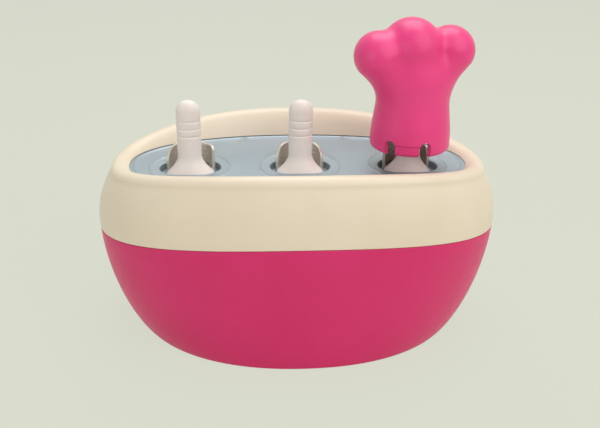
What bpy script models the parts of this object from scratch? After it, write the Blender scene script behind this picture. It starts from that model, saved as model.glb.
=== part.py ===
"""Quick ice pop maker: a chilled aluminium tray with three pop cups in a pebble-shaped tub.

Metres, +Z up, origin on the table under the middle of the tub, X along the row of cups.
"""

import math

import bmesh
import bpy
from mathutils import Matrix, Vector

# Tub outside
BODY_WIDTH = 0.250
BODY_DEPTH = 0.160
BASE_WIDTH = 0.2014
BASE_DEPTH = 0.1552
RIM_HEIGHT = 0.118
WIDEST_HEIGHT = 0.072
TOP_LEAN = 0.0086
PLAN_POWER = 2.15
CURVE_RISE = 1.86
CURVE_TURN = 1.37
RIM_ARCH = 0.0169
ARCH_POWER = 2.37
SEAM_HEIGHT = 0.080
SEAM_ARCH = 0.0132
RIM_LIP = 0.005

# Walls and clearances
SHELL_WALL = 0.0024
FLOOR_THICKNESS = 0.0044
RIM_WALL = 0.0030
TONGUE_WALL = 0.0024
TONGUE_DEPTH = 0.006
FIT_GAP = 0.0003
LOOSE_GAP = 0.0005

# Base
FOOT_PROUD = 0.0010
FOOT_RADIUS = 0.007
FOOT_THICKNESS = 0.0020
FOOT_X = 0.060
FOOT_Y = 0.034
PANEL_LENGTH = 0.096
PANEL_DEPTH = 0.070
PANEL_THICKNESS = 0.0020
PANEL_LEDGE = 0.009
SCREW_RADIUS = 0.0015
SCREW_HEAD_RADIUS = 0.0028
SCREW_HEAD_HEIGHT = 0.0014
BASE_SCREW_LENGTH = 0.0035

# Tray and cups
TRAY_RECESS = 0.016
TRAY_TOP = RIM_HEIGHT - TRAY_RECESS
TRAY_THICKNESS = 0.003
RIM_SIDE_WIDTH = 0.020
RIM_FRONT_WIDTH = 0.026
TRAY_VIEW_LENGTH = BODY_WIDTH - 2 * RIM_SIDE_WIDTH
TRAY_VIEW_DEPTH = BODY_DEPTH - 2 * RIM_FRONT_WIDTH
TRAY_SIDE_MARGIN = BODY_WIDTH * 0.064
TRAY_FRONT_MARGIN = 0.011
TRAY_LENGTH = BODY_WIDTH - 2 * TRAY_SIDE_MARGIN
TRAY_DEPTH = BODY_DEPTH - 2 * TRAY_FRONT_MARGIN
CUP_SPACING = 0.0674
CUP_ROW = -0.007
RECESS_BORDER_X = 0.0053
RECESS_BORDER_Y = 0.0039
RECESS_DEPTH = 0.0045
CUP_TOP_LENGTH = 0.0266
CUP_TOP_WIDTH = 0.0172
CUP_DRAFT_X = 0.0018
CUP_DRAFT_Y = 0.0016
CUP_BOTTOM_HEIGHT = 0.029
CUP_DEPTH = TRAY_TOP - CUP_BOTTOM_HEIGHT
CUP_ROUND = 0.0050
CUP_WALL = 0.0024

# Stick guides, stood just outside the recesses
GUIDE_INNER_RADIUS = 0.0140
GUIDE_THICKNESS = 0.0019
GUIDE_HEIGHT = 0.0115
GUIDE_HALF_ANGLE = 72.0
GUIDE_SHORT_CORNER = 0.0030
GUIDE_LONG_CORNER = 0.0105
GUIDE_END_HEIGHT = 0.0004
GUIDE_SEAT = 0.0012
GUIDE_TALL_END = {"left": "right", "centre": None, "right": "left"}

# Tank, liner and filling
TANK_SIDE_MARGIN = 0.023
TANK_FRONT_MARGIN = 0.029
TANK_DRAFT_X = 0.010
TANK_DRAFT_Y = 0.009
TANK_WALL = 0.0022
TANK_BOTTOM = 0.0180
TANK_CORNER = 0.0040
TANK_FLANGE_THICKNESS = 0.0030
GASKET_WIDTH = 0.0030
GASKET_THICKNESS = 0.0014
GASKET_INSET = 0.0012
FILL_BELOW_TRAY = 0.0120
CLAMP_SCREW_BITE = 0.0030
CLAMP_ANGLES = (90.0, 270.0, 60.0, 120.0, 240.0, 300.0)
BOSS_RADIUS = 0.0031
BOSS_BELOW_CREST = 0.0055
PLUG_HOLE_RADIUS = 0.0060
PLUG_HEAD_RADIUS = 0.0095
PLUG_HEAD_HEIGHT = 0.0030
PLUG_RING_THICKNESS = 0.0012
PLUG_ACCESS_RADIUS = 0.0125

# Sticks
HANDLE_ABOVE_TRAY = 0.0421
HANDLE_TOP = TRAY_TOP + HANDLE_ABOVE_TRAY
HANDLE_WIDTH = 0.0146
HANDLE_DEPTH = 0.0096
NECK_HEIGHT = TRAY_TOP + 0.007
NECK_NARROWING = 0.0004
FLARE_SHOULDER = 0.0007
FLARE_DEPTH = 0.0210
FLARE_LIP = 0.0010
BLADE_WIDTH = 0.0120
BLADE_THICKNESS = 0.0032
BLADE_ABOVE_CUP_BOTTOM = 0.013
GROOVES_BELOW_TOP = (0.0217, 0.0172, 0.0125)
GRIP_GROOVE_DEPTH = 0.0006

# Removal tool
SKIRT_ABOVE_TRAY = 0.0127
SKIRT_BOTTOM = TRAY_TOP + SKIRT_ABOVE_TRAY
SKIRT_RADIUS = 0.0244
SKIRT_WALL = 0.0040
NECK_RADIUS = 0.0221
TOOL_NECK_HEIGHT = SKIRT_BOTTOM + 0.0324
SLEEVE_CLEARANCE = 0.0011
SLEEVE_BORE_RADIUS = HANDLE_WIDTH / 2 + SLEEVE_CLEARANCE
SLEEVE_WALL = 0.0030
SLEEVE_BOTTOM = SKIRT_BOTTOM + 0.0064
SLEEVE_CAP = 0.0024
SLOT_WIDTH = 0.0070
SLOT_HEIGHT = 0.0095
SLOT_ANGLE = 26.0
SLOT_TURN = -15.0
KNOB_TURN = 8.0
KNOB_RADIUS = 0.0175
KNOB_SHOULDER = SKIRT_BOTTOM + 0.0600
KNOB_TOP = SKIRT_BOTTOM + 0.0786
LOBE_OFFSET = 0.0222
LOBE_HEIGHT = SKIRT_BOTTOM + 0.0575
LOBE_RADIUS = 0.0147
LOBE_DEPTH = 0.0165

# Heights, as shares of the way to the seam, that the shell's inside and the liner have in common
INSIDE_SHARES = (0.0, 0.03, 0.09, 0.25, 0.50, 0.75)
AROUND = 40
ROUND_STEPS = 20

PARTS = "ice_pop_maker"
CUTTERS = "ice_pop_maker_cutters"


def clear_scene():
    """Remove every object, so the script can be run again."""
    for item in list(bpy.data.objects):
        bpy.data.objects.remove(item, do_unlink=True)
    for name in (PARTS, CUTTERS):
        old = bpy.data.collections.get(name)
        if old:
            bpy.data.collections.remove(old)


def make_collection(name):
    """Add an empty collection to the scene."""
    collection = bpy.data.collections.new(name)
    bpy.context.scene.collection.children.link(collection)
    return collection


def make_material(name, colour, roughness, metallic=0.0):
    """A plain Principled BSDF material."""
    material = bpy.data.materials.new(name)
    material.use_nodes = True
    shader = material.node_tree.nodes["Principled BSDF"]
    shader.inputs["Base Color"].default_value = (*colour, 1.0)
    shader.inputs["Roughness"].default_value = roughness
    shader.inputs["Metallic"].default_value = metallic
    return material


def pink_plastic():
    """Satin pink moulding of the tub."""
    return make_material("pink_plastic", (0.62, 0.045, 0.15), 0.38)


def cream_plastic():
    """Satin cream moulding of the rim."""
    return make_material("cream_plastic", (0.83, 0.70, 0.50), 0.36)


def cast_aluminium():
    """Fine satin metal of the tray."""
    return make_material("cast_aluminium", (0.50, 0.56, 0.61), 0.42, 0.9)


def guide_grey():
    """Warm grey of the stick guides."""
    return make_material("guide_grey", (0.42, 0.40, 0.34), 0.40, 0.2)


def white_plastic():
    """Off-white food-safe plastic of the sticks."""
    return make_material("white_plastic", (0.80, 0.70, 0.64), 0.34)


def hidden_material(name, colour, roughness=0.6, metallic=0.0):
    """Material of a piece that sits inside the closed tub."""
    return make_material(name, colour, roughness, metallic)


def power_part(value, power):
    """Signed power, which squares off a circle into a superellipse."""
    return math.copysign(abs(value) ** (2.0 / power), value)


def plan_direction(step, around=AROUND):
    """Unit superellipse point number step."""
    angle = 2.0 * math.pi * step / around
    return power_part(math.cos(angle), PLAN_POWER), power_part(math.sin(angle), PLAN_POWER)


def oval_ring(half_x, half_y, height):
    """Flat superellipse ring at one height."""
    ring = []
    for step in range(AROUND):
        across, along = plan_direction(step)
        ring.append(Vector((half_x * across, half_y * along, height)))
    return ring


def crest_at(across):
    """Height of the rim's crest at a distance along the row, highest in the middle."""
    return RIM_HEIGHT - RIM_ARCH * (abs(across) / (BODY_WIDTH / 2)) ** ARCH_POWER


def crest_height(step):
    """Height of the rim's crest at one point of the ring."""
    across, _ = plan_direction(step)
    return crest_at(across * (BODY_WIDTH / 2 - TOP_LEAN - RIM_LIP))


def seam_height(step):
    """Height of the seam between shell and rim, arched like the crest."""
    across, _ = plan_direction(step)
    return SEAM_HEIGHT - SEAM_ARCH * across**2


def wall_halves(step, height):
    """Half width and half depth of the tub's outside at a height."""
    if height <= WIDEST_HEIGHT:
        rise = max(0.0, (height - FOOT_PROUD) / (WIDEST_HEIGHT - FOOT_PROUD))
        bulge = (1.0 - (1.0 - rise) ** CURVE_RISE) ** (1.0 / CURVE_TURN)
        half_x = BASE_WIDTH / 2 + (BODY_WIDTH - BASE_WIDTH) / 2 * bulge
        half_y = BASE_DEPTH / 2 + (BODY_DEPTH - BASE_DEPTH) / 2 * bulge
        return half_x, half_y
    share = (height - WIDEST_HEIGHT) / (crest_height(step) - RIM_LIP - WIDEST_HEIGHT)
    lean = TOP_LEAN * min(share, 1.0) ** 2
    return BODY_WIDTH / 2 - lean, BODY_DEPTH / 2 - lean


def wall_ring(height_at, inset, lift=0.0):
    """Ring on the tub's outside moved inwards; lift reads the wall that much lower down."""
    ring = []
    for step in range(AROUND):
        height = height_at(step)
        half_x, half_y = wall_halves(step, height - lift)
        across, along = plan_direction(step)
        ring.append(Vector(((half_x - inset) * across, (half_y - inset) * along, height)))
    return ring


def new_object(name, mesh, collection, material=None):
    """Object in a collection, with its material."""
    item = bpy.data.objects.new(name, mesh)
    collection.objects.link(item)
    if material:
        mesh.materials.clear()
        mesh.materials.append(material)
    return item


def finish_mesh(mesh, sharp_angle=32.0):
    """Shade a round piece smooth, keeping its edges crisp."""
    mesh.shade_smooth()
    mesh.set_sharp_from_angle(angle=math.radians(sharp_angle))


def loft(name, rings, closed_section, collection, material=None):
    """Skin through rings of equal count; an open section is capped at both ends."""
    work = bmesh.new()
    rows = []
    for ring in rings:
        rows.append([work.verts.new(point) for point in ring])
    count = len(rows[0])
    pairs = list(zip(rows[:-1], rows[1:]))
    if closed_section:
        pairs.append((rows[-1], rows[0]))
    else:
        work.faces.new(rows[0])
        work.faces.new(rows[-1])
    for lower, upper in pairs:
        for step in range(count):
            after = (step + 1) % count
            work.faces.new((lower[step], lower[after], upper[after], upper[step]))
    bmesh.ops.recalc_face_normals(work, faces=work.faces[:])
    mesh = bpy.data.meshes.new(name)
    work.to_mesh(mesh)
    work.free()
    finish_mesh(mesh)
    return new_object(name, mesh, collection, material)


def turned(name, profile, collection, material=None, steps=ROUND_STEPS, centre=(0.0, 0.0)):
    """Solid of revolution from an outer profile of (radius, height), top to bottom."""
    mesh = bpy.data.meshes.new(name)
    points = [(radius, 0.0, height) for radius, height in profile]
    edges = [(index, index + 1) for index in range(len(points) - 1)]
    mesh.from_pydata(points, edges, [])
    item = new_object(name, mesh, collection, material)
    item.location = (centre[0], centre[1], 0.0)
    screw = item.modifiers.new("turn", "SCREW")
    screw.axis = "Z"
    screw.steps = steps
    screw.render_steps = steps
    screw.use_merge_vertices = True
    screw.merge_threshold = 0.00001
    screw.use_smooth_shade = True
    screw.use_normal_calculate = False
    return item


def turned_ring(name, profile, collection, material=None, steps=ROUND_STEPS, centre=(0.0, 0.0)):
    """Hollow turned piece from a closed (radius, height) section, listed down its outer side."""
    return turned(name, profile + [profile[0]], collection, material, steps, centre)


def cylinder(name, radius, low, high, centre, collection, material=None, sides=ROUND_STEPS):
    """Upright cylinder between two heights."""
    mesh = bpy.data.meshes.new(name)
    work = bmesh.new()
    middle = Matrix.Translation((0.0, 0.0, (low + high) / 2))
    bmesh.ops.create_cone(
        work, cap_ends=True, segments=sides, radius1=radius, radius2=radius,
        depth=high - low, matrix=middle,
    )
    work.to_mesh(mesh)
    work.free()
    finish_mesh(mesh)
    item = new_object(name, mesh, collection, material)
    item.location = (centre[0], centre[1], 0.0)
    return item


def join_meshes(name, items, collection):
    """One cutter holding the evaluated solids of several, which are removed."""
    bpy.context.view_layer.update()
    graph = bpy.context.evaluated_depsgraph_get()
    work = bmesh.new()
    for item in items:
        mesh = bpy.data.meshes.new_from_object(item.evaluated_get(graph))
        mesh.transform(item.matrix_world)
        work.from_mesh(mesh)
        bpy.data.meshes.remove(mesh)
    bmesh.ops.remove_doubles(work, verts=work.verts[:], dist=0.000005)
    joined = bpy.data.meshes.new(name)
    work.to_mesh(joined)
    work.free()
    for item in items:
        bpy.data.objects.remove(item, do_unlink=True)
    finish_mesh(joined)
    return new_object(name, joined, collection)


def hide_cutter(item):
    """Keep a cutter out of the render and drawn as wire."""
    item.hide_render = True
    item.display_type = "WIRE"
    return item


def boolean(target, cutter, operation="DIFFERENCE"):
    """Boolean modifier with a hidden cutter."""
    hide_cutter(cutter)
    step = target.modifiers.new(operation.lower(), "BOOLEAN")
    step.operation = operation
    step.solver = "EXACT"
    step.object = cutter
    return step


def cup_centres():
    """Middle of each pop cup along the row, by name."""
    return {"left": -CUP_SPACING, "centre": 0.0, "right": CUP_SPACING}


def foot_places():
    """The four corners where the feet sit."""
    return [(side_x * FOOT_X, side_y * FOOT_Y) for side_x in (-1, 1) for side_y in (-1, 1)]


def base_screw_places():
    """Screws on the ledge around the base panel's opening."""
    reach_x = (PANEL_LENGTH - PANEL_LEDGE) / 2 * 0.76
    reach_y = (PANEL_DEPTH - PANEL_LEDGE) / 2 * 0.68
    return [(side_x * reach_x, side_y * reach_y) for side_x in (-1, 1) for side_y in (-1, 1)]


def clamp_places():
    """Screws that clamp tank and tray up against the rim's bosses."""
    reach_x = (TRAY_VIEW_LENGTH / 2 + BODY_WIDTH / 2 - TOP_LEAN) / 2
    reach_y = (TRAY_VIEW_DEPTH / 2 + BODY_DEPTH / 2 - TOP_LEAN) / 2
    places = []
    for angle in CLAMP_ANGLES:
        across = power_part(math.cos(math.radians(angle)), PLAN_POWER)
        along = power_part(math.sin(math.radians(angle)), PLAN_POWER)
        places.append((reach_x * across, reach_y * along))
    return places


def build_lower_shell(parts, cutters):
    """Pink tub: curved wall, floor with a ledge for the base panel, pockets for the feet."""
    floor = FOOT_PROUD
    inner_floor = floor + FLOOR_THICKNESS
    panel_ceiling = floor + PANEL_THICKNESS + FIT_GAP
    open_x = PANEL_LENGTH / 2 - PANEL_LEDGE
    open_y = PANEL_DEPTH / 2 - PANEL_LEDGE
    rings = [
        oval_ring(open_x, open_y, inner_floor),
        oval_ring(open_x, open_y, panel_ceiling),
        oval_ring(PANEL_LENGTH / 2, PANEL_DEPTH / 2, panel_ceiling),
        oval_ring(PANEL_LENGTH / 2, PANEL_DEPTH / 2, floor),
    ]
    for share in (0.0, 0.008, 0.035, 0.10, 0.22, 0.42, 0.70, 1.0):
        rings.append(wall_ring(lambda step: blend_to_seam(step, floor, share), 0.0))
    rings.append(wall_ring(lambda step: seam_height(step) - FIT_GAP, SHELL_WALL, FLOOR_THICKNESS))
    rings.append(wall_ring(lambda step: seam_height(step) - TONGUE_DEPTH - FIT_GAP, SHELL_WALL,
                           FLOOR_THICKNESS))
    for share in reversed(INSIDE_SHARES):
        rings.append(wall_ring(lambda step: blend_to_seam(step, inner_floor, share),
                               SHELL_WALL, FLOOR_THICKNESS))
    shell = loft("lower_shell", rings, True, parts, pink_plastic())
    pockets = []
    for index, place in enumerate(foot_places()):
        pockets.append(cylinder(f"foot_pocket_{index}", FOOT_RADIUS + FIT_GAP, -0.002,
                                FOOT_THICKNESS + FIT_GAP, place, cutters))
    for index, place in enumerate(base_screw_places()):
        pockets.append(cylinder(f"base_pilot_{index}", SCREW_RADIUS + FIT_GAP, -0.002,
                                panel_ceiling + BASE_SCREW_LENGTH - PANEL_THICKNESS, place,
                                cutters, sides=12))
    boolean(shell, join_meshes("lower_shell_cutter", pockets, cutters))


def blend_to_seam(step, start, share):
    """Height a share of the way from start up to just under the seam."""
    top = seam_height(step) - FIT_GAP
    return start + (top - start) * share


def build_base(parts, cutters):
    """Panel that closes the underside, with its screws and the rubber feet."""
    floor = FOOT_PROUD
    half_x = PANEL_LENGTH / 2 - FIT_GAP
    half_y = PANEL_DEPTH / 2 - FIT_GAP
    rings = [oval_ring(half_x, half_y, floor), oval_ring(half_x, half_y, floor + PANEL_THICKNESS)]
    panel = loft("base_panel", rings, False, parts, pink_plastic())
    holes = []
    steel = hidden_material("screw_steel", (0.55, 0.55, 0.56), 0.35, 1.0)
    head_top = floor + SCREW_HEAD_HEIGHT
    for index, place in enumerate(base_screw_places()):
        holes.append(turned(f"panel_hole_{index}", [
            (0.0, floor + PANEL_THICKNESS + 0.002),
            (SCREW_RADIUS + FIT_GAP, floor + PANEL_THICKNESS + 0.002),
            (SCREW_RADIUS + FIT_GAP, head_top + FIT_GAP),
            (SCREW_HEAD_RADIUS + FIT_GAP, head_top + FIT_GAP),
            (SCREW_HEAD_RADIUS + FIT_GAP, -0.002),
            (0.0, -0.002),
        ], cutters, steps=12, centre=place))
        turned(f"base_screw_{index + 1}", [
            (0.0, floor + BASE_SCREW_LENGTH),
            (SCREW_RADIUS, floor + BASE_SCREW_LENGTH),
            (SCREW_RADIUS, head_top),
            (SCREW_HEAD_RADIUS, head_top),
            (SCREW_HEAD_RADIUS, floor + FIT_GAP),
            (0.0, floor + FIT_GAP),
        ], parts, steel, steps=12, centre=place)
    boolean(panel, join_meshes("base_panel_cutter", holes, cutters))
    rubber = hidden_material("foot_rubber", (0.10, 0.09, 0.09), 0.8)
    for index, place in enumerate(foot_places()):
        cylinder(f"foot_{index + 1}", FOOT_RADIUS, 0.0, FOOT_THICKNESS, place, parts, rubber)


def crest_ring(inset, drop):
    """Ring inside the leaned wall top, a little under the crest."""
    half_x = BODY_WIDTH / 2 - TOP_LEAN - inset
    half_y = BODY_DEPTH / 2 - TOP_LEAN - inset
    ring = []
    for step in range(AROUND):
        across, along = plan_direction(step)
        ring.append(Vector((half_x * across, half_y * along, crest_height(step) - drop)))
    return ring


def mix_rings(first, second, share, height_share):
    """Ring between two others: share moves it in plan, height_share in height."""
    mixed = []
    for start, end in zip(first, second):
        point = start.lerp(end, share)
        point.z = start.z + (end.z - start.z) * height_share
        mixed.append(point)
    return mixed


def build_upper_rim(parts, cutters):
    """Cream rim: outer band, rounded crest, inner wall down to the tray, tongue into the shell."""
    rings = []
    for share in (0.0, 0.30, 0.60, 0.84, 1.0):
        rings.append(wall_ring(lambda step: band_height(step, share), 0.0))
    for angle in (32.0, 62.0):
        turn = math.radians(angle)
        rings.append(crest_ring(RIM_LIP * (1 - math.cos(turn)), RIM_LIP * (1 - math.sin(turn))))
    crest = crest_ring(RIM_LIP, 0.0)
    foot_level = TRAY_TOP + FIT_GAP
    inner_foot = oval_ring(TRAY_VIEW_LENGTH / 2, TRAY_VIEW_DEPTH / 2, foot_level)
    rings.append(crest)
    for share, height_share in ((0.28, 0.06), (0.55, 0.25), (0.82, 0.60)):
        rings.append(mix_rings(crest, inner_foot, share, height_share))
    rings.append(inner_foot)
    back_foot = oval_ring(TRAY_VIEW_LENGTH / 2 + RIM_WALL, TRAY_VIEW_DEPTH / 2 + RIM_WALL, foot_level)
    under_crest = crest_ring(RIM_LIP + 0.0008, RIM_WALL * 0.96)
    rings.append(back_foot)
    rings.append(mix_rings(back_foot, under_crest, 0.20, 0.55))
    rings.append(under_crest)
    rings.append(crest_ring(RIM_WALL, RIM_LIP + 0.0004))
    rings.append(wall_ring(lambda step: band_height(step, 0.55), RIM_WALL))
    tongue_inner = SHELL_WALL + FIT_GAP + TONGUE_WALL
    rings.append(wall_ring(lambda step: seam_height(step) + 0.008, RIM_WALL))
    rings.append(wall_ring(lambda step: seam_height(step) + 0.004, tongue_inner, FLOOR_THICKNESS))
    tongue_outer = SHELL_WALL + FIT_GAP
    for inset in (tongue_inner, tongue_outer):
        rings.append(wall_ring(lambda step: seam_height(step) - TONGUE_DEPTH, inset, FLOOR_THICKNESS))
    rings.append(wall_ring(lambda step: seam_height(step), tongue_outer, FLOOR_THICKNESS))
    rim = loft("upper_rim", rings, True, parts, cream_plastic())
    bosses = []
    pilots = []
    for index, place in enumerate(clamp_places()):
        bosses.append(cylinder(f"boss_{index}", BOSS_RADIUS, foot_level + FIT_GAP,
                               crest_at(place[0]) - BOSS_BELOW_CREST, place, cutters, sides=12))
        pilots.append(cylinder(f"boss_pilot_{index}", SCREW_RADIUS + FIT_GAP, foot_level - 0.002,
                               clamp_screw_top() + FIT_GAP, place, cutters, sides=12))
    boolean(rim, join_meshes("upper_rim_bosses", bosses, cutters), "UNION")
    boolean(rim, join_meshes("upper_rim_pilots", pilots, cutters))


def band_height(step, share):
    """Height a share of the way up the rim's outer band."""
    low = seam_height(step)
    high = crest_height(step) - RIM_LIP
    return low + (high - low) * share


def flange_top():
    """Top of the tank's flange, just under the tray."""
    return TRAY_TOP - TRAY_THICKNESS - FIT_GAP


def clamp_screw_top():
    """Tip of the clamp screws, inside the rim's bosses."""
    return TRAY_TOP + CLAMP_SCREW_BITE


def round_ended_ring(length, width, height, middle, sides=24):
    """Flat ring with straight sides and fully round ends."""
    run = (length - width) / 2
    ring = []
    for step in range(sides):
        angle = 2.0 * math.pi * (step + 0.5) / sides
        across = math.cos(angle) * width / 2
        ring.append(Vector((middle + math.copysign(run, across) + across,
                            CUP_ROW + math.sin(angle) * width / 2, height)))
    return ring


def cup_ring(depth, grow, middle, squeeze=0.0):
    """Oval ring of a cup at a depth under the tray's top; squeeze rounds off its bottom."""
    share = (depth - RECESS_DEPTH) / (CUP_DEPTH - RECESS_DEPTH)
    length = CUP_TOP_LENGTH - 2 * CUP_DRAFT_X * share
    width = CUP_TOP_WIDTH - 2 * CUP_DRAFT_Y * share
    return round_ended_ring(length + 2 * (grow - squeeze), width + 2 * (grow - squeeze),
                            TRAY_TOP - depth, middle)


def cup_rings(grow, middle, start):
    """Rings of a cup from a depth under the tray's top down to its rounded bottom."""
    straight = CUP_DEPTH + grow - CUP_ROUND
    rings = [cup_ring(start, grow, middle), cup_ring(straight, grow, middle)]
    for angle in (35.0, 65.0, 90.0):
        turn = math.radians(angle)
        rings.append(cup_ring(straight + CUP_ROUND * math.sin(turn), grow, middle,
                              CUP_ROUND * (1 - math.cos(turn))))
    return rings


def recess_rings(grow, middle, top, bottom):
    """Upright block with the outline of the shallow recess around a cup."""
    length = CUP_TOP_LENGTH + 2 * (RECESS_BORDER_X + grow)
    width = CUP_TOP_WIDTH + 2 * (RECESS_BORDER_Y + grow)
    return [round_ended_ring(length, width, height, middle) for height in (top, bottom)]


def build_mould_tray(parts, cutters):
    """Aluminium tray: flat plate with three oval cups in recesses, guide seats and screw holes."""
    low = TRAY_TOP - TRAY_THICKNESS
    rings = [
        oval_ring(TRAY_LENGTH / 2, TRAY_DEPTH / 2, low),
        oval_ring(TRAY_LENGTH / 2, TRAY_DEPTH / 2, TRAY_TOP),
    ]
    tray = loft("mould_tray", rings, False, parts, cast_aluminium())
    blocks = []
    cups = []
    recesses = []
    hollows = []
    seats = []
    above = TRAY_TOP + 0.002
    floor = TRAY_TOP - RECESS_DEPTH
    middle_of_plate = TRAY_TOP - TRAY_THICKNESS / 2
    for name, middle in cup_centres().items():
        blocks.append(loft(f"block_{name}", recess_rings(CUP_WALL, middle, middle_of_plate,
                                                         floor - CUP_WALL), False, cutters))
        cups.append(loft(f"cup_{name}", cup_rings(CUP_WALL, middle, TRAY_THICKNESS / 2 + 0.001),
                         False, cutters))
        recesses.append(loft(f"recess_{name}", recess_rings(0.0, middle, above, floor), False, cutters))
        hollows.append(loft(f"hollow_{name}", cup_rings(0.0, middle, 0.0), False, cutters))
        seats.append(arc_block(f"seat_{name}", middle, GUIDE_INNER_RADIUS - FIT_GAP,
                               GUIDE_INNER_RADIUS + GUIDE_THICKNESS + FIT_GAP,
                               TRAY_TOP - GUIDE_SEAT, above,
                               GUIDE_HALF_ANGLE + 1.2, cutters))
    boolean(tray, join_meshes("tray_blocks", blocks, cutters), "UNION")
    boolean(tray, join_meshes("tray_cups", cups, cutters), "UNION")
    boolean(tray, join_meshes("tray_recesses", recesses, cutters))
    boolean(tray, join_meshes("tray_hollows", hollows, cutters))
    boolean(tray, join_meshes("tray_seats", seats, cutters))
    holes = []
    for index, place in enumerate(clamp_places()):
        holes.append(cylinder(f"tray_hole_{index}", SCREW_RADIUS + FIT_GAP, low - 0.002,
                              above, place, cutters, sides=12))
    boolean(tray, join_meshes("tray_holes", holes, cutters))


def corner_drop(run, length, height):
    """How far the guide's top falls at a distance from its end: a quarter ellipse."""
    if run >= length:
        return 0.0
    return height * (1.0 - math.sqrt(1.0 - ((length - run) / length) ** 2))


def arc_block(name, middle, inner, outer, low, high, half_angle, collection, material=None,
              corners=None, foot=None):
    """Upright curved wall behind a cup.

    corners are the lengths of its right and left top corners. foot is the angle from the wall's
    middle past which its bottom steps down, and the height it steps down to.
    """
    steps = 20
    shares = [2.0 * index / steps - 1.0 for index in range(steps + 1)]
    if foot:
        turn = foot[0] / half_angle
        shares = sorted([share for share in shares if abs(abs(share) - turn) > 0.02]
                        + [side * (turn + shift) for side in (-1, 1) for shift in (-0.001, 0.001)])
    rings = []
    for share in shares:
        angle = math.radians(90.0 - half_angle * share)
        drop = 0.0
        if corners:
            run = (1.0 - abs(share)) * math.radians(half_angle) * inner
            length = corners[0] if share > 0 else corners[1]
            drop = corner_drop(run, length, min(length, GUIDE_HEIGHT - GUIDE_END_HEIGHT))
        bottom = foot[1] if foot and abs(share) > turn else low
        across = math.cos(angle)
        along = math.sin(angle)
        rings.append([
            Vector((middle + inner * across, CUP_ROW + inner * along, bottom)),
            Vector((middle + outer * across, CUP_ROW + outer * along, bottom)),
            Vector((middle + outer * across, CUP_ROW + outer * along, high - drop)),
            Vector((middle + inner * across, CUP_ROW + inner * along, high - drop)),
        ])
    return loft(name, rings, False, collection, material)


def guide_foot():
    """Where a guide's wall comes out over the recess, and the floor that its ends stand on."""
    reach = GUIDE_INNER_RADIUS + GUIDE_THICKNESS
    end_radius = CUP_TOP_WIDTH / 2 + RECESS_BORDER_Y - 2 * FIT_GAP
    run = CUP_TOP_LENGTH / 2 + RECESS_BORDER_X - (CUP_TOP_WIDTH / 2 + RECESS_BORDER_Y)
    cosine = (reach ** 2 + run ** 2 - end_radius ** 2) / (2 * run * reach) if run > 0 else 1.0
    start = 90.0 - math.degrees(math.acos(max(0.0, min(1.0, cosine))))
    if start > GUIDE_HALF_ANGLE * 0.95:
        return None
    return start, TRAY_TOP - RECESS_DEPTH + FIT_GAP


def guide_corners(name):
    """Lengths of a guide's right and left top corners: short at its tall end, long elsewhere."""
    return [GUIDE_SHORT_CORNER if GUIDE_TALL_END[name] == side else GUIDE_LONG_CORNER
            for side in ("right", "left")]


def build_guides(parts):
    """Curved upright wall seated behind each stick."""
    material = guide_grey()
    for name, middle in cup_centres().items():
        arc_block(f"stick_guide_{name}", middle, GUIDE_INNER_RADIUS,
                  GUIDE_INNER_RADIUS + GUIDE_THICKNESS, TRAY_TOP - GUIDE_SEAT + FIT_GAP,
                  TRAY_TOP + GUIDE_HEIGHT, GUIDE_HALF_ANGLE, parts, material,
                  corners=guide_corners(name), foot=guide_foot())


def tank_halves(height, grow):
    """Half length and half depth of the tank's outside at a height, grown by a gap."""
    top = flange_top() - TANK_FLANGE_THICKNESS
    share = (top - height) / (top - TANK_BOTTOM)
    half_x = BODY_WIDTH / 2 - TANK_SIDE_MARGIN - TANK_DRAFT_X * share
    half_y = BODY_DEPTH / 2 - TANK_FRONT_MARGIN - TANK_DRAFT_Y * share
    return half_x + grow, half_y + grow


def tank_ring(height, grow):
    """Ring on the tank's wall."""
    half_x, half_y = tank_halves(height, grow)
    return oval_ring(half_x, half_y, height)


def plug_place():
    """Filler plug, half way between two cups."""
    return CUP_SPACING / 2, 0.0


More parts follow.
